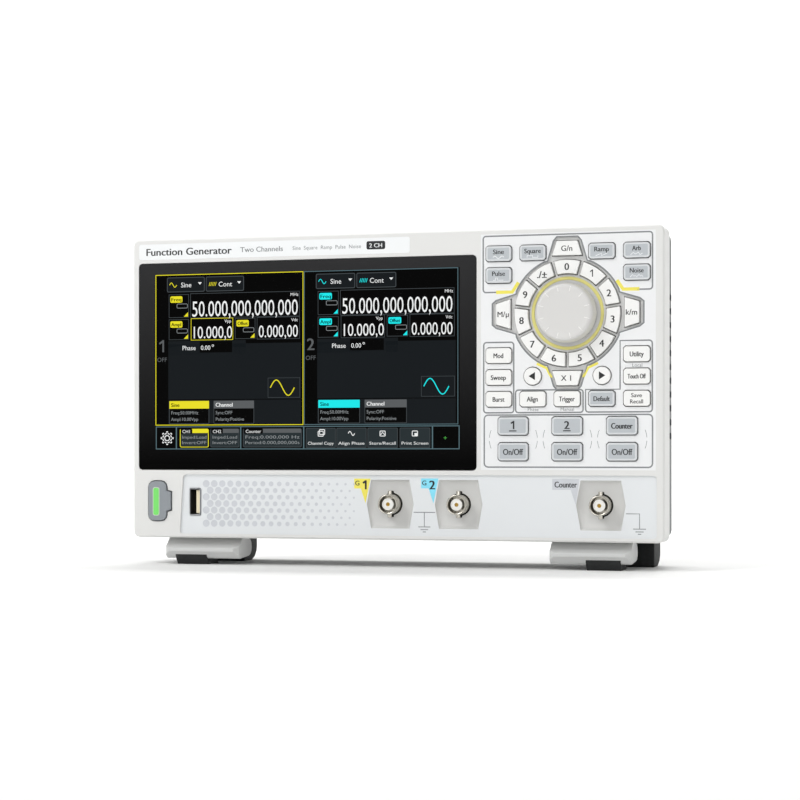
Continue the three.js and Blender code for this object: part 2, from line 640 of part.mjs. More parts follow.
// ---- fold-out front legs: a finger ridge in front, two cheeks with inward trunnions behind ----
function addLegs() {
  const { inner, outer, ridge, chamfer } = LEG;
  const { depth: pivotDepth, z: pivotZ, eye, pin, lug } = PIVOT;
  const top = BODY_BOTTOM - GAP;
  const arcSteps = 6;
  const eyeArc = Array.from({ length: arcSteps + 1 }, (_, i) => {
    const angle = -Math.PI / 2 + (Math.PI * i) / arcSteps;
    return [pivotDepth + eye * Math.cos(angle), pivotZ + eye * Math.sin(angle)];
  });
  const outline = [
    [ridge + 4.6, 3],
    ...eyeArc,
    [pivotDepth - 3, top],
    [ridge + 7.6, top],
    [ridge + 6.6, top - 0.5],
    [ridge + 4.4, top - 2.6],
    [ridge + 1.6, 9],
    [ridge, 8.2],
    [ridge, 6.6],
    [ridge + 3.4, 3.6],
  ];
  for (const [name, side] of [["left", -1], ["right", 1]]) {
    const [left, right] = side < 0 ? [-outer, -inner] : [inner, outer];
    const legX = (left + right) / 2;
    const slotHalf = lug / 2 + GAP;
    let leg = sideways(outline, left, right);
    leg = cut(leg, block(legX - slotHalf, legX + slotHalf, pivotDepth - 5.4, pivotDepth + 8, -1, 20));
    for (const [end, outward] of [[left, -1], [right, 1]]) {
      const corner = (z) => [
        [end - outward * (chamfer + 1), ridge - 1, z],
        [end + outward, ridge - 1, z],
        [end + outward, ridge + chamfer + 1, z],
      ];
      leg = cut(leg, loft([corner(-1), corner(BODY_BOTTOM)]));
    }
    for (const end of [-1, 1]) {
      const from = legX + end * (slotHalf + 1);
      const to = legX + end * (lug / 2 - 4);
      leg = join(leg, crossBar(pin, pivotDepth, pivotZ, Math.min(from, to), Math.max(from, to), 12));
    }
    const [padLeft, padRight] = side < 0 ? [-PAD.outer, -PAD.inner] : [PAD.inner, PAD.outer];
    const pad = sideways(
      [
        [PAD.front, PAD.top],
        [PAD.front + PAD.slope, 0],
        [PAD.back, 0],
        [PAD.back, PAD.backTop],
        [PAD.step, PAD.backTop],
      ],
      padLeft,
      padRight,
    );
    addPiece(`tilt_leg_${name}`, join(leg, pad), MATERIALS.footGrey);
  }
}

function addRearFeet() {
  const top = COVER.bottom - GAP;
  const { inner, outer, front, back } = REAR_FOOT;
  const outline = [
    [front + 1, 0],
    [back - 8, 0],
    [back - 3, 2],
    [back - 0.6, 4.6],
    [back, 7],
    [back, top],
    [front, top],
    [front, 1],
  ];
  addPiece("rear_foot_left", sideways(outline, -outer, -inner), MATERIALS.rubber);
  addPiece("rear_foot_right", sideways(outline, inner, outer), MATERIALS.rubber);
}

const keys = keyList();
addBezel(keys);
addKeys(keys);
addPowerKey();
addScreen();
addKeypadStack();
addEncoder();
addKnob();
addJacks();
addUsbSocket();
addMainBoard();
addRearCover();
addRearParts();
addLegs();
addRearFeet();

export default instrument;
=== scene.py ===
# A compact two-channel bench function generator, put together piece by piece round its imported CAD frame.
# Metres, +Z up, the front faces -Y and X runs right as seen from the front. Lengths written with MM are
# millimetres, and the flat artwork is drawn in plain millimetres and stood up on the front.
import math

import bmesh
import bpy
from mathutils import Matrix, Vector


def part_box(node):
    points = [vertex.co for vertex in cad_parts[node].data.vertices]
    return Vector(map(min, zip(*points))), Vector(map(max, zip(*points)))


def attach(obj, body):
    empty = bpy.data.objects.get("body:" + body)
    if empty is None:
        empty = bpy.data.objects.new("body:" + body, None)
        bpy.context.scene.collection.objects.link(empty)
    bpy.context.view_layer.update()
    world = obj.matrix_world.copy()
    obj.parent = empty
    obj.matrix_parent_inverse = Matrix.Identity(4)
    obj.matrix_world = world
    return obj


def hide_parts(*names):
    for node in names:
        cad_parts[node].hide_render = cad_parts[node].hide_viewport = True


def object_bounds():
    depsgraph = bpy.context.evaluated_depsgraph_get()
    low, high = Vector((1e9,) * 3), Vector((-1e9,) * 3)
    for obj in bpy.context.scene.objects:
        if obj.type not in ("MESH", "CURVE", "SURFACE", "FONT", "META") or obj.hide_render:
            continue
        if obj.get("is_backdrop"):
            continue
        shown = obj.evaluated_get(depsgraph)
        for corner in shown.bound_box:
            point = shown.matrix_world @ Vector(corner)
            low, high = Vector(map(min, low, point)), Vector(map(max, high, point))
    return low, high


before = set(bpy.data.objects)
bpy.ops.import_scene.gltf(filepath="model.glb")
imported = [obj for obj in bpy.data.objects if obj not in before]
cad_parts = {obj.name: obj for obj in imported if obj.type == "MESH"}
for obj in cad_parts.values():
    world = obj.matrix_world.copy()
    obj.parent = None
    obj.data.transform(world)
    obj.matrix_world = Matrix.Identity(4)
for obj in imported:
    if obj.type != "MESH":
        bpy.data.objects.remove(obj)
cad_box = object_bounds()

# ---------------------------------------------------------------- camera
# It stands to the right of the instrument at the height of the lower screen edge and looks level. The
# small shift keeps the uprights parallel while the instrument sits a little left of the middle.
camera_data = bpy.data.cameras.new("camera")
camera_data.lens = 98.7
camera_data.shift_x = 0.1
camera_data.shift_y = 0.066
camera = bpy.data.objects.new("camera", camera_data)
camera.location = (0.2845, -1.0487, 0.0555)
camera.rotation_euler = (math.radians(90), 0, math.radians(17.4))
bpy.context.scene.collection.objects.link(camera)
bpy.context.scene.camera = camera

# ---------------------------------------------------------------- studio
# A sheet of matt white paper that runs back over the table and curves up into the wall, under a pale
# sky of bounced light. One wide soft lamp stands up on the left, a weaker one in front, and a third
# lights the paper behind.
MM = 0.001


def linear(code):
    """A hex sRGB colour as the linear colour that a shader wants."""
    parts = [int(code[i : i + 2], 16) / 255 for i in (1, 3, 5)]
    return [c / 12.92 if c <= 0.04045 else ((c + 0.055) / 1.055) ** 2.4 for c in parts] + [1]


def add_node(material, kind, inputs=None, **settings):
    """Adds a shader node with its settings. An input is a value, or another node's output to link."""
    node = material.node_tree.nodes.new("ShaderNode" + kind)
    for name, value in settings.items():
        setattr(node, name, value)
    for name, value in (inputs or {}).items():
        if isinstance(value, bpy.types.NodeSocket):
            material.node_tree.links.new(value, node.inputs[name])
        else:
            node.inputs[name].default_value = value
    return node


def new_material(name, **shader_inputs):
    """A material with its Principled shader, set from the keyword inputs."""
    material = bpy.data.materials.new(name)
    material.use_nodes = True
    shader = material.node_tree.nodes["Principled BSDF"]
    for name, value in shader_inputs.items():
        shader.inputs[name.replace("_", " ")].default_value = value
    return material, shader


def clouds(material, place, colour, scale, detail, low, high):
    """The colour in soft patches, from `low` to `high` of its brightness, `scale` of them to the metre."""
    noise = add_node(material, "TexNoise", {"Vector": place, "Scale": scale, "Detail": detail})
    ramp = add_node(material, "ValToRGB", {"Fac": noise.outputs["Fac"]})
    for element, edge, change in zip(ramp.color_ramp.elements, (0.3, 0.7), (low, high)):
        element.position = edge
        element.color = [min(c * change, 1) for c in linear(colour)[:3]] + [1]
    return ramp.outputs["Color"]


def mottle(material, shader, colour, size, amount):
    """Clouds the base colour faintly, with patches about `size` metres across."""
    place = add_node(material, "TexCoord").outputs["Object"]
    clouded = clouds(material, place, colour, 1 / size, 3, 1 - amount, 1 + amount)
    material.node_tree.links.new(clouded, shader.inputs["Base Color"])
    return place


def grain(material, shader, place, size, depth, roughness, spread):
    """A fine surface grain `size` metres across and `depth` deep, which also varies the roughness."""
    noise = add_node(material, "TexNoise", {"Vector": place, "Scale": 1 / size, "Detail": 2})
    bump = add_node(material, "Bump", {"Height": noise.outputs["Fac"], "Distance": depth})
    reach = {"From Min": 0.3, "From Max": 0.7, "To Min": roughness - spread, "To Max": roughness + spread}
    rough = add_node(material, "MapRange", {"Value": noise.outputs["Fac"], **reach})
    material.node_tree.links.new(bump.outputs["Normal"], shader.inputs["Normal"])
    material.node_tree.links.new(rough.outputs["Result"], shader.inputs["Roughness"])


# Matt studio paper: no gloss, a barely visible cloudiness.
studio_paper, shader = new_material("studio_paper", Roughness=0.95)
mottle(studio_paper, shader, "#f4f4f3", 0.6, 0.01)

PAPER_SIDE = 5
PAPER_FRONT = -8
PAPER_BEND = 2  # how far back the paper starts to curve up, with a radius of COVE
COVE = 1
WALL_HEIGHT = 3
paper = bmesh.new()
near_edge = [paper.verts.new((x, PAPER_FRONT, 0)) for x in (-PAPER_SIDE, PAPER_SIDE)]
edge = paper.edges.new(near_edge)
grown = bmesh.ops.extrude_edge_only(paper, edges=[edge])
far = [v for v in grown["geom"] if isinstance(v, bmesh.types.BMVert)]
bmesh.ops.translate(paper, vec=(0, PAPER_BEND - PAPER_FRONT, 0), verts=far)
far_edge = [e for e in grown["geom"] if isinstance(e, bmesh.types.BMEdge) and set(e.verts) == set(far)]
cove = bmesh.ops.spin(
    paper, geom=far + far_edge, cent=(0, PAPER_BEND, COVE), axis=(1, 0, 0), angle=math.pi / 2, steps=16
)
top = [e for e in cove["geom_last"] if isinstance(e, bmesh.types.BMEdge)]
wall = bmesh.ops.extrude_edge_only(paper, edges=top)
raised = [v for v in wall["geom"] if isinstance(v, bmesh.types.BMVert)]
bmesh.ops.translate(paper, vec=(0, 0, WALL_HEIGHT), verts=raised)
bmesh.ops.recalc_face_normals(paper, faces=paper.faces)
paper_mesh = bpy.data.meshes.new("studio_paper")
paper.to_mesh(paper_mesh)
paper_mesh.polygons.foreach_set("use_smooth", [True] * len(paper_mesh.polygons))
paper_mesh.materials.append(studio_paper)
backdrop = bpy.data.objects.new("backdrop", paper_mesh)
bpy.context.scene.collection.objects.link(backdrop)
backdrop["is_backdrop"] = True

sky = bpy.data.worlds.new("bounced_light")
bpy.context.scene.world = sky
sky.use_nodes = True
# The room is dim at eye level and bright overhead, so upright glass stays dark and tops stay light.
upward = add_node(sky, "SeparateXYZ", {"Vector": add_node(sky, "TexCoord").outputs["Generated"]})
climb = {"From Min": 0.0, "From Max": 0.25, "To Min": 0.5, "To Max": 0.62}
bounce = add_node(sky, "MapRange", {"Value": upward.outputs["Z"], **climb})
background = sky.node_tree.nodes["Background"]
background.inputs["Color"].default_value = (1, 1, 1, 1)
sky.node_tree.links.new(bounce.outputs["Result"], background.inputs["Strength"])


def soft_lamp(name, place, size, power, aim=(0, 0, 0.08)):
    """A square lamp of that width, pointed at the middle of the instrument or at another place."""
    data = bpy.data.lights.new(name, "AREA")
    data.size = size
    data.energy = power
    lamp = bpy.data.objects.new(name, data)
    lamp.location = place
    lamp.rotation_euler = (Vector(aim) - lamp.location).to_track_quat("-Z", "Y").to_euler()
    bpy.context.scene.collection.objects.link(lamp)


soft_lamp("key_lamp", (-1.1, -1.2, 1.5), 0.9, 16)
soft_lamp("front_lamp", (0.4, -2.2, 1.1), 1.2, 8)
soft_lamp("wall_lamp", (0, 0.9, 2.2), 1.5, 60, aim=(0, 2.6, 0.6))
bpy.context.scene.view_settings.view_transform = "Standard"

# ---------------------------------------------------------------- front bezel
# One deep moulded frame in white ABS with a fine spark-eroded grain. The key panel is a smoother printed
# film let into its face, with a grey well round the ring of digit keys.
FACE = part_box("front_bezel")[0].y


def whole_copy(node):
    """The node's mesh with its loose triangles merged and its flat faces made whole again."""
    shape = bmesh.new()
    shape.from_mesh(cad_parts[node].data)
    bmesh.ops.remove_doubles(shape, verts=shape.verts, dist=0.002 * MM)
    bmesh.ops.dissolve_limit(shape, angle_limit=math.radians(1), verts=shape.verts, edges=shape.edges)
    return shape


def round_edges(shape, width, sharper=30, chosen=lambda edge: True):
    """Rounds every chosen edge that bends by more than `sharper` degrees."""
    limit = math.radians(sharper)
    edges = [e for e in shape.edges if e.is_manifold and e.calc_face_angle() > limit and chosen(e)]
    bmesh.ops.bevel(
        shape, geom=edges, offset=width, segments=2, profile=0.5, affect="EDGES", clamp_overlap=True,
        material=-1,
    )


def finish_piece(shape, name, materials, body="instrument", sharp=35):
    """Makes the shape an object that rides on a body. Edges that bend by `sharp` degrees stay crisp."""
    for edge in shape.edges:
        edge.smooth = edge.is_manifold and edge.calc_face_angle() < math.radians(sharp)
    for face in shape.faces:
        face.smooth = any(edge.smooth for edge in face.edges)
    mesh = bpy.data.meshes.new(name)
    shape.to_mesh(mesh)
    shape.free()
    for material in materials if isinstance(materials, list) else [materials]:
        mesh.materials.append(material)
    piece = bpy.data.objects.new(name, mesh)
    bpy.context.scene.collection.objects.link(piece)
    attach(piece, body)
    return piece


def even_normals(piece):
    """Keeps large flat faces flat where they meet small rounded ones."""
    modifier = piece.modifiers.new("even_normals", "WEIGHTED_NORMAL")
    modifier.keep_sharp = True


def moulded(name, colour, roughness, grain_size=0.7 * MM, depth=0.012 * MM, cloud=0.012):
    """A moulded plastic. Its true grain, about 0.1 mm, is too fine to show, so it is drawn coarser."""
    material, shader = new_material(name, IOR=1.53)
    place = mottle(material, shader, colour, 0.05, cloud)
    grain(material, shader, place, grain_size, depth, roughness, 0.06)
    return material


# White ABS housing: satin, fine even grain.
white_abs = moulded("white_abs", "#dddddb", 0.46)
# Printed polyester film on the key panel: a little bluer and smoother than the housing.
key_film = moulded("key_film", "#e8e9ea", 0.36, depth=0.004 * MM, cloud=0.006)
# The same film, light grey in the well round the digit keys.
well_film = moulded("well_film", "#cdcdcc", 0.4, depth=0.004 * MM, cloud=0.01)
# Grey-white ABS of the sunken strip that holds the sockets.
strip_abs = moulded("strip_abs", "#dfe2e4", 0.42, depth=0.008 * MM, cloud=0.008)
# The dishes round the jacks, painted darker than the strip as painted shade for these hollows.
dish_shade_abs = moulded("dish_shade_abs", "#cfcfcd", 0.4, depth=0.006 * MM, cloud=0.03)

bezel = whole_copy("front_bezel")
FILM = {"left": 45.4, "right": 128.6, "bottom": 47.3, "top": 159.3}
for side, place in FILM.items():
    across = Vector((1, 0, 0) if side in ("left", "right") else (0, 0, 1))
    everything = bezel.verts[:] + bezel.edges[:] + bezel.faces[:]
    bmesh.ops.bisect_plane(bezel, geom=everything, plane_co=across * place * MM, plane_no=across)
LEVEL = 0.01 * MM  # faces no farther apart than this are level
WELL_DEPTH = 0.8 * MM
STRIP = {"depth": 1.0 * MM, "top": 46 * MM}
DISHES = {"depth": 3.7 * MM, "top": 43 * MM, "left": -20 * MM}
# The finish of each face goes by its place and depth: film, grey well, socket strip, and the dishes with
# their painted shade.
for face in bezel.faces:
    middle = face.calc_center_bounds()
    depth = middle.y - FACE
    inside = FILM["left"] < middle.x / MM < FILM["right"] and FILM["bottom"] < middle.z / MM < FILM["top"]
    in_dishes = middle.x > DISHES["left"] and middle.z < DISHES["top"]
    if inside and depth < LEVEL:
        face.material_index = 1
    elif inside and abs(depth - WELL_DEPTH) < LEVEL:
        face.material_index = 2
    elif abs(depth - STRIP["depth"]) < LEVEL and middle.z < STRIP["top"]:
        face.material_index = 3
    elif in_dishes and STRIP["depth"] < depth < DISHES["depth"]:
        face.material_index = 4
rounded_to = FACE + STRIP["depth"] + 0.1 * MM
round_edges(bezel, 0.22 * MM, chosen=lambda edge: max(v.co.y for v in edge.verts) < rounded_to)
finishes = [white_abs, key_film, well_film, strip_abs, dish_shade_abs]
bezel_piece = finish_piece(bezel, "bezel_shell", finishes)
even_normals(bezel_piece)
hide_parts("front_bezel")

# ---------------------------------------------------------------- printed lines and labels on the front
# Screen-printed ink on the film and the housing, each colour one thin layer. Every group of keys has a
# fine grey frame, and yellow marks point at the digit ring.
INK = 0.03  # thickness of a printed layer, mm


def stand_up(shape, flat, x, z, level, thick=INK):
    """Gives flat artwork in plain millimetres its thickness and stands it on the front at that level."""
    bmesh.ops.recalc_face_normals(flat, faces=flat.faces)
    if flat.faces and sum(f.normal.z for f in flat.faces) < 0:
        bmesh.ops.reverse_faces(flat, faces=flat.faces)
    grown = bmesh.ops.extrude_face_region(flat, geom=flat.faces[:], use_keep_orig=True)
    raised = [v for v in grown["geom"] if isinstance(v, bmesh.types.BMVert)]
    bmesh.ops.translate(flat, vec=(0, 0, thick), verts=raised)
    bmesh.ops.recalc_face_normals(flat, faces=flat.faces)
    place_on_front(shape, flat, x, z, level)


def place_on_front(shape, flat, x, z, level):
    """Turns artwork that lies in X and Y to stand in X and Z, at (x, z) mm, and adds it to the shape."""
    upright = Matrix.Rotation(math.pi / 2, 4, "X")
    place = Matrix.Translation((x * MM, level, z * MM)) @ upright @ Matrix.Scale(MM, 4)
    bmesh.ops.transform(flat, matrix=place, verts=flat.verts)
    moved = bpy.data.meshes.new("moved")
    flat.to_mesh(moved)
    flat.free()
    shape.from_mesh(moved)
    bpy.data.meshes.remove(moved)


def draw_plate(shape, x, z, width, height, corner=0, line=0, level=FACE, thick=INK):
    """A printed rectangle with round corners, or only its outline where a line width is given."""
    flat = bmesh.new()
    bmesh.ops.create_grid(flat, x_segments=1, y_segments=1, size=0.5)
    bmesh.ops.scale(flat, vec=(width, height, 1), verts=flat.verts)
    if corner:
        bmesh.ops.bevel(
            flat, geom=flat.verts, offset=corner, segments=4, profile=0.5, affect="VERTICES", material=-1
        )
    if line:
        rim = bmesh.ops.inset_region(flat, faces=flat.faces, thickness=line, use_boundary=True)["faces"]
        bmesh.ops.delete(flat, geom=[f for f in flat.faces if f not in rim], context="FACES")
    stand_up(shape, flat, x, z, level, thick)


def draw_area(shape, points, level, thick=INK):
    """A printed patch with straight sides."""
    flat = bmesh.new()
    flat.faces.new([flat.verts.new((x, z, 0)) for x, z in points])
    stand_up(shape, flat, 0, 0, level, thick)


def draw_line(shape, points, line, level=FACE, closed=False, thick=INK):
    """A printed line of that width through the points."""
    curve = bpy.data.curves.new("line", "CURVE")
    curve.dimensions = "3D"
    curve.bevel_depth = line / 2
    curve.bevel_resolution = 0
    curve.use_fill_caps = True
    spline = curve.splines.new("POLY")
    spline.points.add(len(points) - 1)
    for point, (x, z) in zip(spline.points, points):
        point.co = (x, z, 0, 1)
    spline.use_cyclic_u = closed
    add_curve(shape, curve, 0, 0, level, squeeze=2 * thick / line)


def add_curve(shape, curve, x, z, level, squeeze=1, fit=None):
    """Meshes a curve, flattens it, fits it to a width where one is given, and adds it to the shape."""
    source = bpy.data.objects.new("curve", curve)
    bpy.context.scene.collection.objects.link(source)
    bpy.context.view_layer.update()
    mesh = bpy.data.meshes.new_from_object(source)
    flat = bmesh.new()
    flat.from_mesh(mesh)
    bpy.data.objects.remove(source)
    bpy.data.curves.remove(curve)
    bpy.data.meshes.remove(mesh)
    bmesh.ops.remove_doubles(flat, verts=flat.verts, dist=1e-5)
    across = [v.co.x for v in flat.verts]
    wide = fit / (max(across) - min(across)) if fit else 1
    bmesh.ops.scale(flat, vec=(wide, 1, squeeze), verts=flat.verts)
    place_on_front(shape, flat, x, z, level)


def draw_words(shape, words, x, z, cap, fit=None, level=FACE, bold=0, align="CENTER", thick=INK):
    """Letters with capitals `cap` mm high about z, and `fit` mm wide in all where a width is given. Bold
    letters are struck twice, that far to either side."""
    for strike, shift in enumerate((-bold, bold) if bold else (0,)):
        curve = bpy.data.curves.new("words", "FONT")
        curve.body = words
        curve.size = cap / 0.73
        curve.align_x = align
        curve.extrude = thick / 2 * (1 + 0.2 * strike)
        curve.resolution_u = 3
        add_curve(shape, curve, x + shift, z - cap / 2, level - thick / 2 * MM, fit=fit)


def draw_one(shape, x, z, cap, line, level, thick=INK):
    """A figure 1 with a flag, which the plain lettering lacks."""
    stem = x + 0.1 * cap
    flag = [(stem, z + cap / 2 - line / 2), (x - 0.24 * cap, z + 0.2 * cap)]
    draw_line(shape, [(stem, z - cap / 2), (stem, z + cap / 2)], line, level, thick=thick)
    draw_line(shape, flag, line, level, thick=1.2 * thick)


def ink(name, colour, roughness=0.45):
    """Screen-printing ink: a thin even layer, very slightly cloudy."""
    material, shader = new_material(name, IOR=1.5)
    place = mottle(material, shader, colour, 0.004, 0.03)
    grain(material, shader, place, 0.5 * MM, 0.002 * MM, roughness, 0.05)
    return material


# Black ink, also used for the painted shade of the screws' cross recesses.
black_ink_and_shade = ink("black_ink_and_shade", "#16181a")
ink_grey = ink("ink_grey", "#7f8284")
ink_yellow = ink("ink_yellow", "#ebdf5c")
ink_blue = ink("ink_blue", "#86dcf2")
RING = (87, 121.2)  # middle of the digit ring


def arc(radius, start, end, steps, centre=RING):
    """Points on a circle, with the angles in degrees clockwise from the top."""
    turns = [math.radians(start + (end - start) * i / steps) for i in range(steps + 1)]
    return [(centre[0] + radius * math.sin(a), centre[1] + radius * math.cos(a)) for a in turns]


def round_frame(left, right, bottom, top, corner=1.3):
    """Points round a rectangle with round corners."""
    corners = [(right, top, 0), (right, bottom, 90), (left, bottom, 180), (left, top, 270)]
    points = []
    for x, z, start in corners:
        middle = (x + (corner if x == left else -corner), z + (corner if z == bottom else -corner))
        points += arc(corner, start, start + 90, 3, middle)
    return points


LINE = 0.7
frames = bmesh.new()
draw_line(frames, round_frame(46.75, 61.3, 74.5, 107.9), LINE, closed=True)
draw_line(frames, round_frame(62.2, 94.5, 74.5, 85.2), LINE, closed=True)
draw_line(frames, round_frame(47, 127.1, 48.7, 73.4, 1.8), LINE, closed=True)
# The frame of the right-hand keys is an L: it leaves its upper left quarter to the ring.
right_group = round_frame(95.7, 127, 74.6, 107.9)[:12]
notch = [(95.7, 85.2), (111.95, 85.2), (111.95, 86.3), (111.95, 107.9)]
draw_line(frames, notch[2:] + right_group + notch[:2], LINE, closed=True)
# The waveform keys' frame runs from one side of the ring well, over the top arm, to the other side.
over = round_frame(46.5, 127.1, 131.7, 158.4)
draw_line(frames, [(54, 131.7), *over[8:], *over[:8], (120, 131.7)], LINE)
# The outline of the well: four arms joined by arcs about the ring.
outline = []
for turn in (0, 90, 180, 270):
    arm = [(-9.5, 24.6), (-6.6, 34.2), (-5, 36.1), (5, 36.1), (6.6, 34.2), (9.5, 24.6)]
    sin = math.sin(math.radians(turn))
    cos = math.cos(math.radians(turn))
    outline += [(RING[0] + a * cos + r * sin, RING[1] - a * sin + r * cos) for a, r in arm]
    outline += arc(26.7, turn + 24, turn + 66, 10)
draw_line(frames, outline, LINE, closed=True)
# Faint arcs that tie each channel key to the key below it.
for middle in (61.1, 87, 112.9):
    for side in (-1, 1):
        for start, end in ((68, 86), (94, 112)):
            draw_line(frames, arc(11.6, side * start, side * end, 4, (middle, 61.9)), 0.22)
finish_piece(frames, "panel_lines", ink_grey, sharp=60)

accents = bmesh.new()
draw_line(accents, [(52.8, 131.7), (60.6, 131.7), (63.6, 136.2)], 1.7)
draw_line(accents, [(110.4, 136.2), (113.4, 131.9), (121, 131.9)], 1.7)
draw_line(accents, [(72.4, 97.6), (77.1, 95.4), (79.5, 90.9)], 1.2)
draw_line(accents, [(101.6, 97.6), (96.9, 95.4), (94.5, 90.9)], 1.2)
finish_piece(accents, "panel_accents", ink_yellow, sharp=60)

hints = bmesh.new()
for words, x, z in (("Local", 120, 96.4), ("Phase", 70.6, 76.1), ("Manual", 87, 76.1)):
    draw_words(hints, words, x, z, 1.7)
finish_piece(hints, "panel_hints", ink_grey)


def spun(points, x, z, steps):
    """A shape turned about an axis along Y from a profile of (radius, depth behind the face) in mm."""
    shape = bmesh.new()
    ring = [shape.verts.new(((x + radius) * MM, FACE + depth * MM, z * MM)) for radius, depth in points]
    edges = [shape.edges.new((ring[i], ring[(i + 1) % len(ring)])) for i in range(len(ring))]
    if points[0][0] == points[-1][0] == 0:
        shape.edges.remove(edges.pop())
    centre = (x * MM, 0, z * MM)
    bmesh.ops.spin(
        shape, geom=ring + edges, cent=centre, axis=(0, 1, 0), angle=math.tau, steps=steps, use_merge=True
    )
    bmesh.ops.remove_doubles(shape, verts=shape.verts, dist=0.002 * MM)
    bmesh.ops.recalc_face_normals(shape, faces=shape.faces)
    return shape


# Pale yellow light ring between the knob and the digit keys, standing on the floor of the well.
ring_yellow = ink("ring_yellow", "#e0d883", roughness=0.35)
glow_ring = spun([(15.7, 0.8), (15.9, 0.55), (17.1, 0.55), (17.3, 0.8)], *RING, 72)
finish_piece(glow_ring, "yellow_ring", ring_yellow)

# ---------------------------------------------------------------- name strip over the screen
# A glossy white polyester label with a plain description of the instrument, stuck on above the screen. Its
# words are printed in black and grey, and white letters on a black badge give the number of channels.
label_film = moulded("label_film", "#eef0f1", 0.2, depth=0.002 * MM, cloud=0.004)
LABEL_THICK = 0.12
strip = bmesh.new()
draw_plate(strip, -59.55, 155.55, 139.9, 7.7, corner=1, thick=LABEL_THICK)
finish_piece(strip, "name_strip", label_film)
LABEL = FACE - LABEL_THICK * MM
title = bmesh.new()
draw_words(title, "Function Generator", -126, 155.6, 3.7, fit=45, level=LABEL, bold=0.12, align="LEFT")
draw_plate(title, -6.6, 155.8, 9.4, 4, corner=0.9, level=LABEL)
finish_piece(title, "strip_title", black_ink_and_shade)
subtitle = bmesh.new()
draw_words(subtitle, "Two Channels", -76, 155.6, 2.6, fit=22, level=LABEL, bold=0.05, align="LEFT")
draw_words(subtitle, "Sine  Square  Ramp  Pulse  Noise", -49, 155.6, 1.9, level=LABEL, align="LEFT")
finish_piece(subtitle, "strip_subtitle", ink_grey)
badge = bmesh.new()
draw_words(badge, "2 CH", -6.6, 155.8, 2.1, fit=6.4, level=LABEL - INK * MM, bold=0.03)
finish_piece(badge, "strip_badge", label_film)

# ---------------------------------------------------------------- touch screen
# A sheet of black-bordered cover glass glued over a colour panel. What the panel shows is laid on the
# glass in thin lit layers: two channel panes with their readings, and a bar of cards and buttons.
cover_glass, shader = new_material("cover_glass", Specular_IOR_Level=0.07)
place = add_node(cover_glass, "TexCoord").outputs["Object"]
# The black border ink is painted greyer towards its top as a painted reflection of the room's light, and
# smears vary its gloss.
upright = add_node(cover_glass, "SeparateXYZ", {"Vector": place})
low_to_high = {"From Min": 0.05, "From Max": 0.15}
climb = add_node(cover_glass, "MapRange", {"Value": upright.outputs["Z"], **low_to_high})
painted_reflection = add_node(cover_glass, "ValToRGB", {"Fac": climb.outputs["Result"]})
for element, code in zip(painted_reflection.color_ramp.elements, ("#000000", "#2f2f30")):
    element.color = linear(code)
cover_glass.node_tree.links.new(painted_reflection.outputs["Color"], shader.inputs["Base Color"])
smear = add_node(cover_glass, "TexNoise", {"Vector": place, "Scale": 25, "Detail": 4})
gloss = {"To Min": 0.04, "To Max": 0.12}
shine = add_node(cover_glass, "MapRange", {"Value": smear.outputs["Fac"], **gloss})
cover_glass.node_tree.links.new(shine.outputs["Result"], shader.inputs["Roughness"])


def give_material(node, material):
    """Gives a CAD part its finish in place of the plain one it came with."""
    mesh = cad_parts[node].data
    mesh.materials.clear()
    mesh.materials.append(material)


give_material("touch_glass", cover_glass)


def lit(name, colour, strength=1.0):
    """A lit patch of the screen or of a lamp. Its light is a few per cent uneven over its area."""
    material, shader = new_material(
        name, Roughness=0.2, IOR=1.3, Base_Color=linear("#020202"), Specular_IOR_Level=0.12,
        Emission_Strength=strength,
    )
    place = add_node(material, "TexCoord").outputs["Object"]
    clouded = clouds(material, place, colour, 18, 1, 0.94, 1.0)
    material.node_tree.links.new(clouded, shader.inputs["Emission Color"])
    return material


LAYER = 0.02  # one screen layer over another, mm
LIT = {
    "black": lit("lit_black", "#000000", 0),
    "slate": lit("lit_slate", "#171b1e"),
    "pane_grey": lit("lit_pane_grey", "#5f7a82", 0.85),
    "edge_grey": lit("lit_edge_grey", "#43494c"),
    "button": lit("lit_button", "#2a3235"),
    "grey": lit("lit_grey", "#5d6062"),
    "dim": lit("lit_dim", "#8f9496"),
    "white": lit("lit_white", "#f2f4f4"),
    "yellow": lit("lit_yellow", "#ece22a"),
    "cyan": lit("lit_cyan", "#1feef0"),
    "green": lit("lit_green", "#4fae4a"),
}
screens = {}


def layer(colour, order):
    """The screen layer of that colour, and its level that many layers above the glass."""
    if (colour, order) not in screens:
        screens[colour, order] = bmesh.new()
    return screens[colour, order], FACE - order * LAYER * MM


def lit_plate(colour, order, x, z, width, height, corner=0, line=0):
    shape, level = layer(colour, order)
    draw_plate(shape, x, z, width, height, corner, line, level, LAYER)


def lit_words(colour, words, x, z, cap, fit=None, align="CENTER", bold=0.0, order=5):
    shape, level = layer(colour, order)
    draw_words(shape, words, x, z, cap, fit, level, bold, align, LAYER)


def lit_line(colour, points, line):
    shape, level = layer(colour, 5)
    draw_line(shape, points, line, level, thick=LAYER)


def wave(x, z, width, height, turns=1.0):
    """Points along a sine wave that starts upwards at its left end."""
    steps = int(20 * turns)
    spans = [i / steps for i in range(steps + 1)]
    return [(x + (s - 0.5) * width, z + height / 2 * math.sin(2 * math.pi * turns * s)) for s in spans]


lit_plate("black", 1, -42.85, 100.65, 155.7, 87.1)


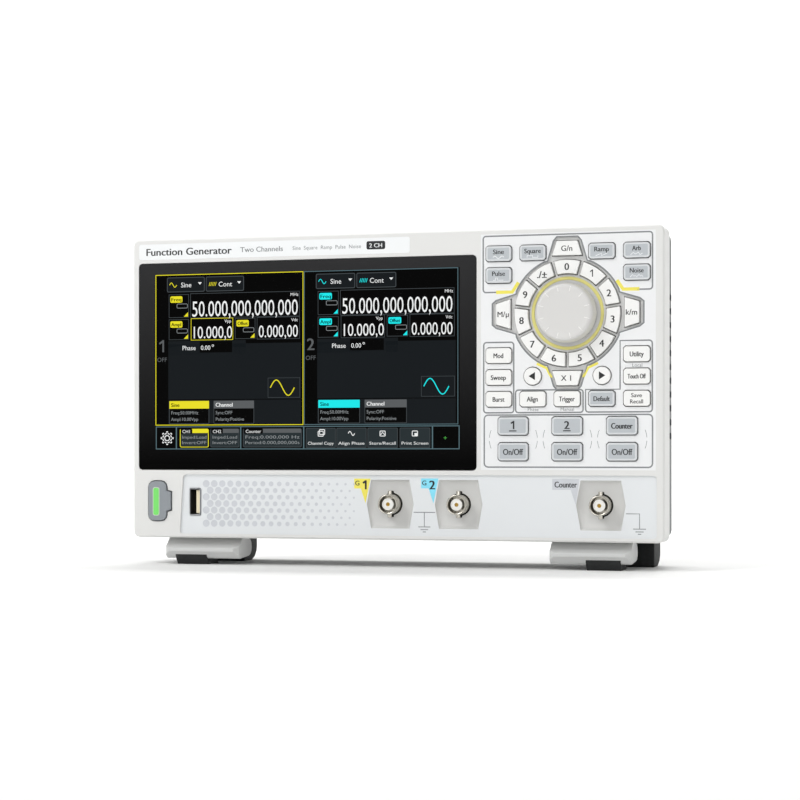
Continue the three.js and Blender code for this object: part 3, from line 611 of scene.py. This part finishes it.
def channel_pane(number, left, colour, frame_colour):
    """One channel's pane, 77 mm wide: frame, drop-downs, readings, phase, thumbnail and two cards."""
    lit_plate(frame_colour, 3, left + 38.5, 106.6, 77.4, 75, line=0.5)
    lit_plate("slate", 2, left + 41.3, 95.7, 69.4, 27.4)
    lit_plate("slate", 2, left + 41.3, 75.6, 69.4, 12)
    if number == 1:
        shape, level = layer("grey", 5)
        draw_one(shape, left + 3.3, 108.6, 6, 0.9, level, LAYER)
    else:
        lit_words("grey", str(number), left + 3.3, 108.6, 6, bold=0.15)
    lit_words("grey", "OFF", left + 3.3, 101.9, 2.2)
    for x, words in ((15.9, "Sine"), (36.5, "Cont")):
        lit_plate("edge_grey", 2, left + x, 139, 20, 7.4, corner=0.8)
        lit_plate("slate", 3, left + x, 139, 19.2, 6.6, corner=0.5)
        lit_words("white", words, left + x + 0.2, 138.9, 2.5)
        shape, level = layer("white", 5)
        tip = left + x + 7.5
        draw_area(shape, [(tip - 1, 140), (tip, 138.8), (tip + 1, 140)], level, LAYER)
    lit_line(colour, wave(left + 9.2, 138.9, 3.8, 2.2), 0.35)
    for bar in range(5):
        lit_line(colour, [(left + 28.2 + bar * 0.8, 138), (left + 28.8 + bar * 0.8, 139.9)], 0.28)
    rows = (
        ("Freq", 12.2, 128.4, 11.6, "50.000,000,000,000", "MHz", 46.8, 57, 8.0),
        ("Ampl", 12.2, 116.7, 10.2, "10.000,0", "Vpp", 29.7, 22.2, 6.2),
        ("Offset", 47.1, 116.7, 10.2, "0.000,00", "Vdc", 64.3, 22.2, 6.2),
    )
    for name, x, z, tall, value, unit, value_x, value_width, digits in rows:
        lit_plate("edge_grey", 2, left + x, z, 10.6, tall, line=0.35)
        lit_plate(colour, 3, left + x - 1.3, z + tall / 2 - 2.5, 6.4, 3.2, corner=0.7)
        lit_words("black", name, left + x - 1.3, z + tall / 2 - 2.5, 1.8, fit=5.2, bold=0.07)
        lit_plate("dim", 3, left + x + 1.8, z + tall / 2 - 5.8, 5.8, 2.3, corner=0.7, line=0.25)
        shape, level = layer(colour, 5)
        corner_x = left + x + 4.9
        corner_z = z - tall / 2 + 0.5
        points = [(corner_x - 2.2, corner_z), (corner_x, corner_z), (corner_x, corner_z + 2.2)]
        draw_area(shape, points, level, LAYER)
        box_colour = "yellow" if name == "Ampl" and number == 1 else "edge_grey"
        lit_plate(box_colour, 2, left + value_x, z, value_width, tall + 0.7, line=0.35)
        lit_words("white", value, left + value_x, z - 1.4, digits, fit=value_width - 2)
        lit_words("white", unit, left + value_x + value_width / 2 - 2.7, z + tall / 2 - 1.2, 1.6)
    lit_plate("slate", 2, left + 27, 107.6, 40.8, 6.9)
    lit_plate("black", 3, left + 31.8, 107.9, 17, 5.6)
    lit_words("white", "Phase", left + 17.6, 107.6, 2.3)
    lit_words("white", "0.00", left + 26.4, 107.6, 2.3, fit=5)
    lit_line("white", arc(0.45, 0, 360, 10, (left + 30.2, 108.5)), 0.25)
    lit_plate("edge_grey", 3, left + 67.2, 87.4, 16.6, 9.8, line=0.3)
    lit_line(colour, wave(left + 66.4, 87.4, 12.4, 7.6), 0.5)
    cards = (
        (colour, 17.7, "Sine", "black", ("Freq:50.00MHz", "Ampl:10.00Vpp")),
        ("grey", 41.2, "Channel", "white", ("Sync:OFF", "Polarity:Positive")),
    )
    for top, x, title, letters, lines in cards:
        lit_plate("edge_grey", 3, left + x, 75.5, 21.2, 11.4, corner=0.5)
        lit_plate("black", 4, left + x, 75.5, 20.6, 10.8, corner=0.4)
        lit_plate(top, 5, left + x, 79.3, 21, 3.8)
        lit_words(letters, title, left + x - 9.6, 79.3, 2, align="LEFT", bold=0.06, order=6)
        for row, words in enumerate(lines):
            lit_words("dim", words, left + x - 9.6, 75.4 - 3.2 * row, 1.7, align="LEFT")


channel_pane(1, -120.6, "yellow", "yellow")
channel_pane(2, -42.9, "cyan", "pane_grey")

# The bar along the bottom: settings wheel, channel and counter cards, four buttons and a status lamp.
lit_plate("pane_grey", 2, -42.85, 62.9, 155.6, 11.4, line=0.6)
for x in (-109.7, -75.8, -43.2, 21.6):
    lit_plate("pane_grey", 2, x, 62.9, 0.6, 11)
shape, level = layer("white", 5)
WHEEL = (-114.6, 62.8)
TEETH = 8
for tooth in range(TEETH):
    turn = (tooth + 0.5) * 360 / TEETH
    draw_line(shape, arc(2.3, turn - 14, turn + 14, 2, WHEEL), 0.5, level)
    draw_line(shape, arc(3.1, turn + 14, turn + 31, 2, WHEEL), 0.6, level)
draw_line(shape, arc(1.3, 0, 330, 12, WHEEL), 0.45, level, closed=True)
cards = (
    (-100.2, 15.2, "CH1", "yellow", ("Imped:Load", "Invert:OFF")),
    (-84.1, 15.2, "CH2", "grey", ("Imped:Load", "Invert:OFF")),
    (-59.4, 30.4, "Counter", "grey", ("Freq:0.000,000 Hz", "Period:0.000,000,000s")),
)
for x, width, title, colour, lines in cards:
    left = x - width / 2
    tab = 6.2 if width < 20 else 10
    lit_plate(colour if colour == "yellow" else "edge_grey", 3, x, 62.8, width, 9.2, corner=0.8)
    lit_plate("button", 4, x, 62.4, width - 0.7, 7.8, corner=0.6)
    lit_plate(colour, 5, x, 66.3, width - 0.8, 2)
    lit_plate("black", 6, left + tab / 2 + 0.4, 66.2, tab, 2.6, corner=0.6)
    lit_words("white", title, left + tab / 2 + 0.4, 66.1, 1.7, order=7)
    for row, words in enumerate(lines):
        lit_words("dim", words, left + 1, 63.3 - 2.7 * row, 1.6, align="LEFT", fit=width - 2.4)
buttons = ((-34.5, "Channel Copy"), (-18.9, "Align Phase"), (-3.2, "Store/Recall"), (12.9, "Print Screen"))
for x, words in buttons:
    lit_plate("edge_grey", 3, x, 62.7, 15.2, 9.8, corner=0.6)
    lit_plate("button", 4, x, 62.7, 14.6, 9.2, corner=0.5)
    lit_words("white", words, x, 60.2, 1.5, fit=13.2)
lit_line("white", wave(-18.9, 64.9, 3.2, 2), 0.4)
for x in (-34.5, -3.2, 12.9):
    lit_plate("white", 5, x, 64.8, 3, 2.8, corner=0.5, line=0.4)
lit_plate("white", 5, -33.8, 65.6, 3, 2.8, corner=0.5, line=0.4)
lit_line("white", [(-4.2, 64.2), (-3.2, 65.4), (-2.2, 64.2)], 0.4)
lit_plate("white", 5, 13.5, 64.3, 1.6, 1.4)
lit_words("green", "+", 27.9, 62.7, 2.4)
for (colour, order), shape in sorted(screens.items()):
    finish_piece(shape, f"screen_{colour}_{order}", LIT[colour])

# ---------------------------------------------------------------- keys
# Each key is a hard ABS cap moulded with its flange, about a millimetre proud of its hole. White keys are
# plain with softened edges. Grey keys have a sunken grey top inside a paler rim. Legends are printed on.
white_key = moulded("white_key_abs", "#eeeeec", 0.36, depth=0.005 * MM, cloud=0.006)
grey_key = moulded("grey_key_abs", "#b6bbbf", 0.4, depth=0.006 * MM, cloud=0.012)
pale_rim = moulded("pale_key_rim", "#d2d5d7", 0.34, depth=0.004 * MM, cloud=0.006)
SUNK = 0.14 * MM
GREY_KEYS = (
    "sine", "square", "ramp", "arbitrary", "pulse", "noise", "default", "channel_1", "channel_2", "counter",
    "output_1", "output_2", "counter_on",
)



def dress_key(node):
    """Replaces a key's plain CAD cap with one that has rounded edges, and a sunken top if it is grey."""
    key = whole_copy(node)
    front = min(v.co.y for v in key.verts)
    round_edges(key, 0.38 * MM, chosen=lambda edge: min(v.co.y for v in edge.verts) < front + LEVEL)
    finishes = white_key
    if node[4:] in GREY_KEYS:
        finishes = [pale_rim, grey_key]
        top = [f for f in key.faces if max(v.co.y for v in f.verts) < front + LEVEL]
        bmesh.ops.inset_region(key, faces=top, thickness=0.5 * MM, depth=-SUNK, use_even_offset=True)
        for face in top:
            face.material_index = 1
    piece = finish_piece(key, f"cap_{node[4:]}", finishes, body=node)
    even_normals(piece)
    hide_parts(node)


for node in sorted(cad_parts):
    if node.startswith("key_") and node not in ("key_power", "key_mat"):
        dress_key(node)


def key_top(node):
    """The middle of a key's top in mm, and the level that its legend is printed at."""
    low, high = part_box(node)
    level = low.y + (SUNK if node[4:] in GREY_KEYS else 0)
    return (low.x + high.x) / 2 / MM, (low.z + high.z) / 2 / MM, level


def print_legend(node, shape, colour=black_ink_and_shade, suffix=""):
    finish_piece(shape, f"legend_{node[4:]}{suffix}", colour, body=node)


# Key, words, height of the capitals, and width of the words.
PLAIN_LEGENDS = (
    ("mod", "Mod", 2.4, 4.6), ("sweep", "Sweep", 2.4, 7.2), ("burst", "Burst", 2.4, 5.6),
    ("utility", "Utility", 2.4, 6.4), ("touch_lock", "Touch Off", 2.3, 8.4), ("align", "Align", 2.4, 5.2),
    ("trigger", "Trigger", 2.4, 7.4), ("default", "Default", 2.4, 7.6), ("counter", "Counter", 2.8, 9.9),
    ("output_1", "On/Off", 3, 9.6), ("output_2", "On/Off", 3, 9.6), ("counter_on", "On/Off", 3, 9.6),
)
for key, words, cap, width in PLAIN_LEGENDS:
    x, z, level = key_top("key_" + key)
    legend = bmesh.new()
    draw_words(legend, words, x, z, cap, width, level, bold=0.14 if key == "counter" else 0.08)
    print_legend("key_" + key, legend)

x, z, level = key_top("key_save_recall")
legend = bmesh.new()
draw_words(legend, "Save", x, z + 1.5, 2, 5, level, bold=0.04)
draw_words(legend, "Recall", x, z - 1.4, 2, 6, level, bold=0.04)
print_legend("key_save_recall", legend)

for number in (1, 2):
    x, z, level = key_top(f"key_channel_{number}")
    legend = bmesh.new()
    if number == 1:
        draw_one(legend, x, z + 0.5, 3.9, 0.75, level)
    else:
        draw_words(legend, "2", x, z + 0.5, 3.9, level=level, bold=0.16)
    draw_plate(legend, x, z - 2.3, 3.6, 0.5, level=level)
    print_legend(f"key_channel_{number}", legend)

# Each waveform key shows its waveform under its name.
STEP = [(-2.6, 0), (-2.6, 1), (0, 1), (0, 0), (2.6, 0), (2.6, 1)]
WAVEFORMS = (
    ("sine", "Sine", 5.2, wave(0, 0.5, 5.2, 1.2, 1.5)),
    ("square", "Square", 7.8, STEP),
    ("ramp", "Ramp", 6.8, [(-2.8, 0), (0, 1.2), (0, 0), (2.8, 1.2)]),
    ("arbitrary", "Arb", 4, [(-2.8, 0), (-1.6, 1.1), (-0.4, 0.3), (0.8, 1.2), (1.6, 0), (2.8, 0.7)]),
    ("pulse", "Pulse", 6.2, [(-2.6, 0), (-1.4, 0), (-1.4, 1.1), (-0.4, 1.1), (-0.4, 0), (2.4, 0)]),
    ("noise", "Noise", 6.4, [(-3 + 0.6 * i, (i * 7 % 5) * 0.3) for i in range(11)]),
)
for key, words, width, points in WAVEFORMS:
    x, z, level = key_top("key_" + key)
    legend = bmesh.new()
    draw_words(legend, words, x, z + 0.9, 2.3, width, level, bold=0.07)
    print_legend("key_" + key, legend)
    symbol = bmesh.new()
    draw_line(symbol, [(x + a, z - 2.3 + b) for a, b in points], 0.3, level)
    print_legend("key_" + key, symbol, label_film, "_wave")

DIGITS = {"radius": 21.9, "count": 11, "cap": 3.4}
for i in range(DIGITS["count"]):
    node = f"key_digit_{i}" if i < 10 else "key_point_sign"
    turn = 360 * i / DIGITS["count"]
    x, z = arc(DIGITS["radius"], turn, turn, 1)[0]
    legend = bmesh.new()
    level = key_top(node)[2]
    if i == 1:
        draw_one(legend, x, z, DIGITS["cap"], 0.5, level)
    else:
        words = str(i) if i < 10 else "./±"
        draw_words(legend, words, x, z, DIGITS["cap"], level=level, bold=0.1)
    print_legend(node, legend)
ARM_RADIUS = 30.5
ARM_KEYS = (("giga_nano", "G/n"), ("kilo_milli", "k/m"), ("unit_x1", "X 1"), ("mega_micro", "M/µ"))
for quarter, (key, words) in enumerate(ARM_KEYS):
    x, z = arc(ARM_RADIUS, 90 * quarter, 90 * quarter, 1)[0]
    legend = bmesh.new()
    draw_words(legend, words, x, z, 2.7, level=key_top("key_" + key)[2], bold=0.05)
    print_legend("key_" + key, legend)
for side, key in ((-1, "key_arrow_left"), (1, "key_arrow_right")):
    x, z, level = key_top(key)
    legend = bmesh.new()
    draw_area(legend, [(x + side * 1.7, z), (x - side * 1.3, z + 1.9), (x - side * 1.3, z - 1.9)], level)
    print_legend(key, legend)

# ---------------------------------------------------------------- power key
# A grey ABS cap with softened edges, sliding in its own hole at the lower left of the bezel. A clear light
# guide in a pale rim is set into it and lit green while the power is on.
power_abs = moulded("power_key_abs", "#8b9095", 0.42, depth=0.008 * MM)
power = whole_copy("key_power")
power_front = min(v.co.y for v in power.verts)
round_edges(power, 0.45 * MM, chosen=lambda edge: min(v.co.y for v in edge.verts) < power_front + LEVEL)
power_cap = finish_piece(power, "cap_power", power_abs, body="key_power")
even_normals(power_cap)
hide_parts("key_power")
light_guide = lit("light_guide", "#8cf27e", 0.9)
guide_rim = moulded("light_guide_rim", "#c9d2c6", 0.25, depth=0.003 * MM)
LAMP = (-120.1, 31.3)  # middle of the light guide
RIM_THICK = 0.12
rim = bmesh.new()
draw_plate(rim, *LAMP, 3.6, 14.2, corner=1.1, level=power_front, thick=RIM_THICK)
finish_piece(rim, "power_light_rim", guide_rim, body="key_power")
bar = bmesh.new()
draw_plate(bar, *LAMP, 2.8, 13.4, corner=0.8, level=power_front - RIM_THICK * MM, thick=0.15)
finish_piece(bar, "power_light", light_guide, body="key_power")

# ---------------------------------------------------------------- knob and encoder
# A round ABS cap pressed on the encoder's steel shaft: a shallow dished face with twelve fine ribs near
# its edge for the fingertips, a sloping band, and a thin skirt.
knob_abs = moulded("knob_abs", "#d3d2d0", 0.34, depth=0.006 * MM, cloud=0.006)
# The ribs are the knob's ABS painted lighter, a painted highlight where their edges catch the light.
rib_highlight_abs = moulded("knob_rib_abs", "#ecebe9", 0.3, depth=0.003 * MM, cloud=0.004)
# From the middle of the face out to the skirt, and back in through the hollow to the bottom of the bore.
KNOB_PROFILE = [
    (0, -8.72), (8.8, -8.74), (10.6, -8.82), (11.4, -8.96), (11.8, -9.0), (12.3, -8.94), (12.9, -8.6),
    (13.25, -8.1), (13.45, -7.2), (13.95, -2.4), (14.1, -1.9), (14.1, -1.15), (13.9, -1.1), (12.3, -1.1),
    (12.1, -6.5), (5, -6.5), (5, -4), (3.35, -4), (3.35, -7.4), (0, -7.4),
]
knob = spun(KNOB_PROFILE, *RING, 96)
knob_piece = finish_piece(knob, "knob_cap", knob_abs, body="knob")
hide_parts("knob")
RIBS = {"count": 12, "width": 0.42, "depth": 0.3, "length": 2.6, "proud": 8.84, "radius": 11.2}
ribs = bmesh.new()
for rib in range(RIBS["count"]):
    bar = bmesh.ops.create_cube(ribs, size=MM)["verts"]
    turn = Matrix.Rotation(math.tau * (rib + 0.5) / RIBS["count"], 3, "Y")
    bmesh.ops.scale(ribs, vec=(RIBS["width"], RIBS["depth"], RIBS["length"]), verts=bar)
    bmesh.ops.translate(ribs, vec=(0, FACE - RIBS["proud"] * MM, RIBS["radius"] * MM), verts=bar)
    bmesh.ops.rotate(ribs, cent=(0, 0, 0), matrix=turn, verts=bar)
bmesh.ops.translate(ribs, vec=(RING[0] * MM, 0, RING[1] * MM), verts=ribs.verts)
round_edges(ribs, 0.1 * MM)
finish_piece(ribs, "knob_ribs", rib_highlight_abs, body="knob")


def plated(name, colour, roughness):
    """A plated metal: bright, with fine scuffs that vary the gloss."""
    material, shader = new_material(name, Metallic=1.0)
    place = mottle(material, shader, colour, 0.01, 0.03)
    grain(material, shader, place, 0.3 * MM, 0.002 * MM, roughness, 0.08)
    return material


# Tinned steel of the encoder, and of the display can and the network socket behind the front.
tinned_steel = plated("tinned_steel", "#b9bbbe", 0.36)
for node in ("encoder_body", "encoder_shaft", "lcd_module", "lan_jack"):
    give_material(node, tinned_steel)

# ---------------------------------------------------------------- front sockets
# Three nickel-plated coaxial jacks, each with a white insulator and a gilt spring contact, that come out
# through their dishes. One upright USB socket with a tinned shell and a cream tongue is by the power key.
nickel_plate = plated("nickel_plate", "#c4c0b6", 0.2)
gilt = plated("gilt_contact", "#b08f45", 0.3)
white_insulator = moulded("white_insulator", "#ecebe6", 0.5, depth=0.004 * MM)
# Black plastic, also used as painted shade inside the USB slot.
black_plastic = moulded("black_plastic", "#17181a", 0.5)
cream_nylon = moulded("cream_nylon", "#e6dcc0", 0.45, depth=0.004 * MM)
JACK = {"z": 30.75, "shell_back": 6, "contact": 0.62, "contact_back": -2.5, "insulator": 2.42}
for name in ("output_1", "output_2", "counter"):
    low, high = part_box("bnc_" + name)
    x = (low.x + high.x) / 2 / MM
    z = JACK["z"]
    jack = whole_copy("bnc_" + name)
    for face in jack.faces:
        depth = (face.calc_center_median().y - FACE) / MM
        reach = max(math.hypot(v.co.x / MM - x, v.co.z / MM - z) for v in face.verts)
        if depth > JACK["shell_back"]:
            face.material_index = 3
        elif reach < JACK["contact"] and depth < JACK["contact_back"]:
            face.material_index = 2
        elif reach < JACK["insulator"]:
            face.material_index = 1
    round_edges(jack, 0.15 * MM, chosen=lambda edge: max(v.co.y for v in edge.verts) < FACE - 0.5 * MM)
    finishes = [nickel_plate, white_insulator, gilt, black_plastic]
    body_piece = finish_piece(jack, f"jack_{name}", finishes)
    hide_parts("bnc_" + name)
    ring = spun([(0.6, -3.15), (0.6, -3.4), (0.7, -3.46), (0.92, -3.4), (0.95, -3.15)], x, z, 24)
    finish_piece(ring, f"jack_contact_{name}", gilt)
    lip = spun([(2.4, -3.0), (2.4, -3.35), (2.65, -3.42), (2.85, -3.3), (2.85, -3.0)], x, z, 32)
    finish_piece(lip, f"jack_insulator_{name}", white_insulator)

USB_WALL = 0.3 * MM
USB_DEPTH = 12 * MM
usb = whole_copy("usb_host_port")
usb_low, usb_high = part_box("usb_host_port")
mouth = usb_low.y + 0.1 * MM
tongue_side = (usb_low.x + usb_high.x) / 2 + USB_WALL
# Inside the slot, faces beside the tongue are coloured black as painted shade for the dark deep in the
# steel shell; faces on the tongue's side get the cream nylon.
for face in usb.faces:
    middle = face.calc_center_median()
    between = usb_low.x + USB_WALL < middle.x < usb_high.x - USB_WALL
    if between and mouth < middle.y < usb_low.y + USB_DEPTH:
        face.material_index = 2 if middle.x > tongue_side else 1
round_edges(usb, 0.1 * MM, chosen=lambda edge: max(v.co.y for v in edge.verts) < mouth)
finishes = [tinned_steel, black_plastic, cream_nylon]
usb_piece = finish_piece(usb, "usb_shell", finishes)
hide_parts("usb_host_port")

# ---------------------------------------------------------------- printing on the socket strip
# Thin ink on the sunken strip round the sockets: a field of dots that fades out to the right, a coloured
# flag with its mark at each jack, and two ground symbols.
FLOOR = FACE + STRIP["depth"]
DOTS = {"rows": 7, "columns": 19, "left": -94.3, "top": 40.25, "across": 4.24, "down": 3.27, "fade": 76}
ink_dot = ink("ink_dot", "#c9ccd1")
dots = bmesh.new()
for row in range(DOTS["rows"]):
    for column in range(DOTS["columns"]):
        x = DOTS["left"] + DOTS["across"] * (column + (0.5 if row % 2 else 0))
        along = (x - DOTS["left"]) / DOTS["fade"]
        if along < 1.01:
            dot = bmesh.new()
            bmesh.ops.create_circle(dot, cap_ends=True, segments=10, radius=1.85 - 1.3 * along)
            stand_up(dots, dot, x, DOTS["top"] - DOTS["down"] * row, FLOOR)
finish_piece(dots, "strip_dots", ink_dot, sharp=60)

flags = (
    ("yellow", ink_yellow, [(-17.8, 43), (-9.6, 43), (-12.1, 31), (-14.5, 38.2), (-17.8, 38.2)]),
    ("blue", ink_blue, [(15.7, 43.2), (24.3, 43.2), (21.8, 31.2), (19.4, 38.4), (15.7, 38.4)]),
    ("grey", ink_dot, [(79.6, 43.2), (92.6, 43.2), (90.8, 31), (88.4, 38), (79.6, 38)]),
)
for name, colour, corners in flags:
    flag = bmesh.new()
    draw_area(flag, corners, FLOOR)
    finish_piece(flag, f"flag_{name}", colour)
MARKS = FLOOR - INK * MM  # over the flags
marks = bmesh.new()
draw_one(marks, -12.4, 40, 4.4, 0.95, MARKS)
draw_words(marks, "2", 21.2, 40.2, 4.4, level=MARKS, bold=0.2)
draw_words(marks, "G", -16.2, 40.9, 2.4, level=MARKS, bold=0.06)
draw_words(marks, "G", 17.3, 41.1, 2.4, level=MARKS, bold=0.06)
draw_words(marks, "Counter", 86, 40.6, 2.9, 10.6, level=MARKS, bold=0.1)
finish_piece(marks, "strip_marks", black_ink_and_shade)

HAIRLINE = 0.4
grounds = bmesh.new()
draw_line(grounds, [(12, 26.9), (22.7, 26.9)], HAIRLINE, FLOOR)
draw_line(grounds, [(17.3, 26.9), (17.3, 19.9)], HAIRLINE, FLOOR)
draw_line(grounds, [(114.6, 27), (120.9, 27), (120.9, 19.9)], HAIRLINE, FLOOR)
for x in (17.3, 120.9):
    for z, half in ((19.9, 3), (18.6, 1.9), (17.5, 0.8)):
        draw_line(grounds, [(x - half, z), (x + half, z)], HAIRLINE, FLOOR)
finish_piece(grounds, "strip_grounds", ink_grey, sharp=60)

# ---------------------------------------------------------------- feet
# Two fold-out front legs in pale grey ABS with black rubber pads, turning on short pins in lugs under the
# cover, and two black rubber rear feet.
leg_abs = moulded("leg_abs", "#cbcccb", 0.46)
black_rubber = moulded("black_rubber", "#1d1f20", 0.75, grain_size=1.0 * MM, depth=0.03 * MM, cloud=0.03)
PAD = {"inner": 95, "outer": 111.5, "low": 2, "front": 7, "front_top": 2.95}
for side in ("left", "right"):
    node = f"tilt_leg_{side}"
    leg = whole_copy(node)
    for face in leg.faces:
        middle = face.calc_center_bounds() / MM
        out = abs(middle.x)
        under = middle.z < PAD["low"]
        at_side = face.normal.x**2 > 0.9 and min(abs(out - PAD["inner"]), abs(out - PAD["outer"])) < 0.02
        across = PAD["inner"] - 1 < out < PAD["outer"] + 0.5
        at_front = across and middle.y < FACE / MM + PAD["front"] and middle.z < PAD["front_top"]
        if under or at_side or at_front:
            face.material_index = 1
    round_edges(leg, 0.5 * MM, sharper=40)
    finishes = [leg_abs, black_rubber]
    leg_piece = finish_piece(leg, f"front_{node}", finishes, body=f"leg_{side}")
    even_normals(leg_piece)
    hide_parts(node)
    foot = whole_copy(f"rear_foot_{side}")
    round_edges(foot, 0.8 * MM)
    foot_piece = finish_piece(foot, f"rubber_foot_{side}", black_rubber)
    even_normals(foot_piece)
    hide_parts(f"rear_foot_{side}")

# ---------------------------------------------------------------- rear cover and what is behind the front
# A deep dark grey ABS cover, coarser grained than the bezel, with vents, sockets and a fan grille, and four
# screws in the back. Inside lie two green boards, a silicone key mat and a black fan.
dark_abs = moulded("dark_abs", "#66686a", 0.55, grain_size=0.9 * MM, depth=0.03 * MM, cloud=0.03)
NEAR_BACK = 37.5 * MM  # only edges behind this are rounded, those of the cover's back
cover = whole_copy("rear_cover")
round_edges(cover, 0.5 * MM, sharper=50, chosen=lambda edge: max(v.co.y for v in edge.verts) > NEAR_BACK)
cover_piece = finish_piece(cover, "cover_shell", dark_abs, sharp=40)
even_normals(cover_piece)
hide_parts("rear_cover")

black_oxide = plated("black_oxide_steel", "#4a4a4c", 0.4)
SCREWS = ((-108, 27), (108, 27), (-101, 134), (101, 134))
HEAD_TOP = 67.55
HEAD = [(0, HEAD_TOP), (1.6, 67.5), (2.6, 67.3), (3.1, 66.95), (3.1, 66.76), (0, 66.76)]
for number, (x, z) in enumerate(SCREWS, 1):
    finish_piece(spun(HEAD, x, z, 32), f"rear_screw_{number}", black_oxide)
    # The driver's cross recess is not cut; two thin black bars on the head stand in for it as painted
    # shade.
    cross = bmesh.new()
    for size in ((2.6, 0.06, 0.6), (0.6, 0.08, 2.6)):
        blade = bmesh.ops.create_cube(cross, size=MM)["verts"]
        bmesh.ops.scale(cross, vec=size, verts=blade)
        bmesh.ops.translate(cross, vec=(x * MM, FACE + HEAD_TOP * MM, z * MM), verts=blade)
    finish_piece(cross, f"rear_screw_cross_{number}", black_ink_and_shade)

# The words on the back are drawn as on a front, then turned about and set just proud of the cover.
BACK = FACE + 68.04 * MM
ink_white = ink("ink_white", "#d9dadb")
rear_words = bmesh.new()
for words, x, z, cap in (("LAN", -36, 38, 3), ("DC IN", 78, 36, 3), ("Function Generator", 0, 128, 4.5)):
    draw_words(rear_words, words, x, z, cap, level=0, bold=0.08)
about = Matrix.Translation((0, BACK, 0)) @ Matrix.Rotation(math.pi, 4, "Z")
bmesh.ops.transform(rear_words, matrix=about, verts=rear_words.verts)
finish_piece(rear_words, "rear_words", ink_white)

solder_mask = moulded("green_solder_mask", "#1f5a3a", 0.3, 2 * MM, 0.01 * MM, 0.08)
silicone = moulded("silicone_mat", "#c9cbcc", 0.7, 1 * MM, 0.02 * MM)
for node in ("main_board", "keypad_board"):
    give_material(node, solder_mask)
give_material("key_mat", silicone)
for node in ("cooling_fan", "dc_inlet"):
    give_material(node, black_plastic)

# ---------------------------------------------------------------- end
size = {
    "cad": [list(corner) for corner in cad_box],
    "visual": [list(corner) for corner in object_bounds()],
}
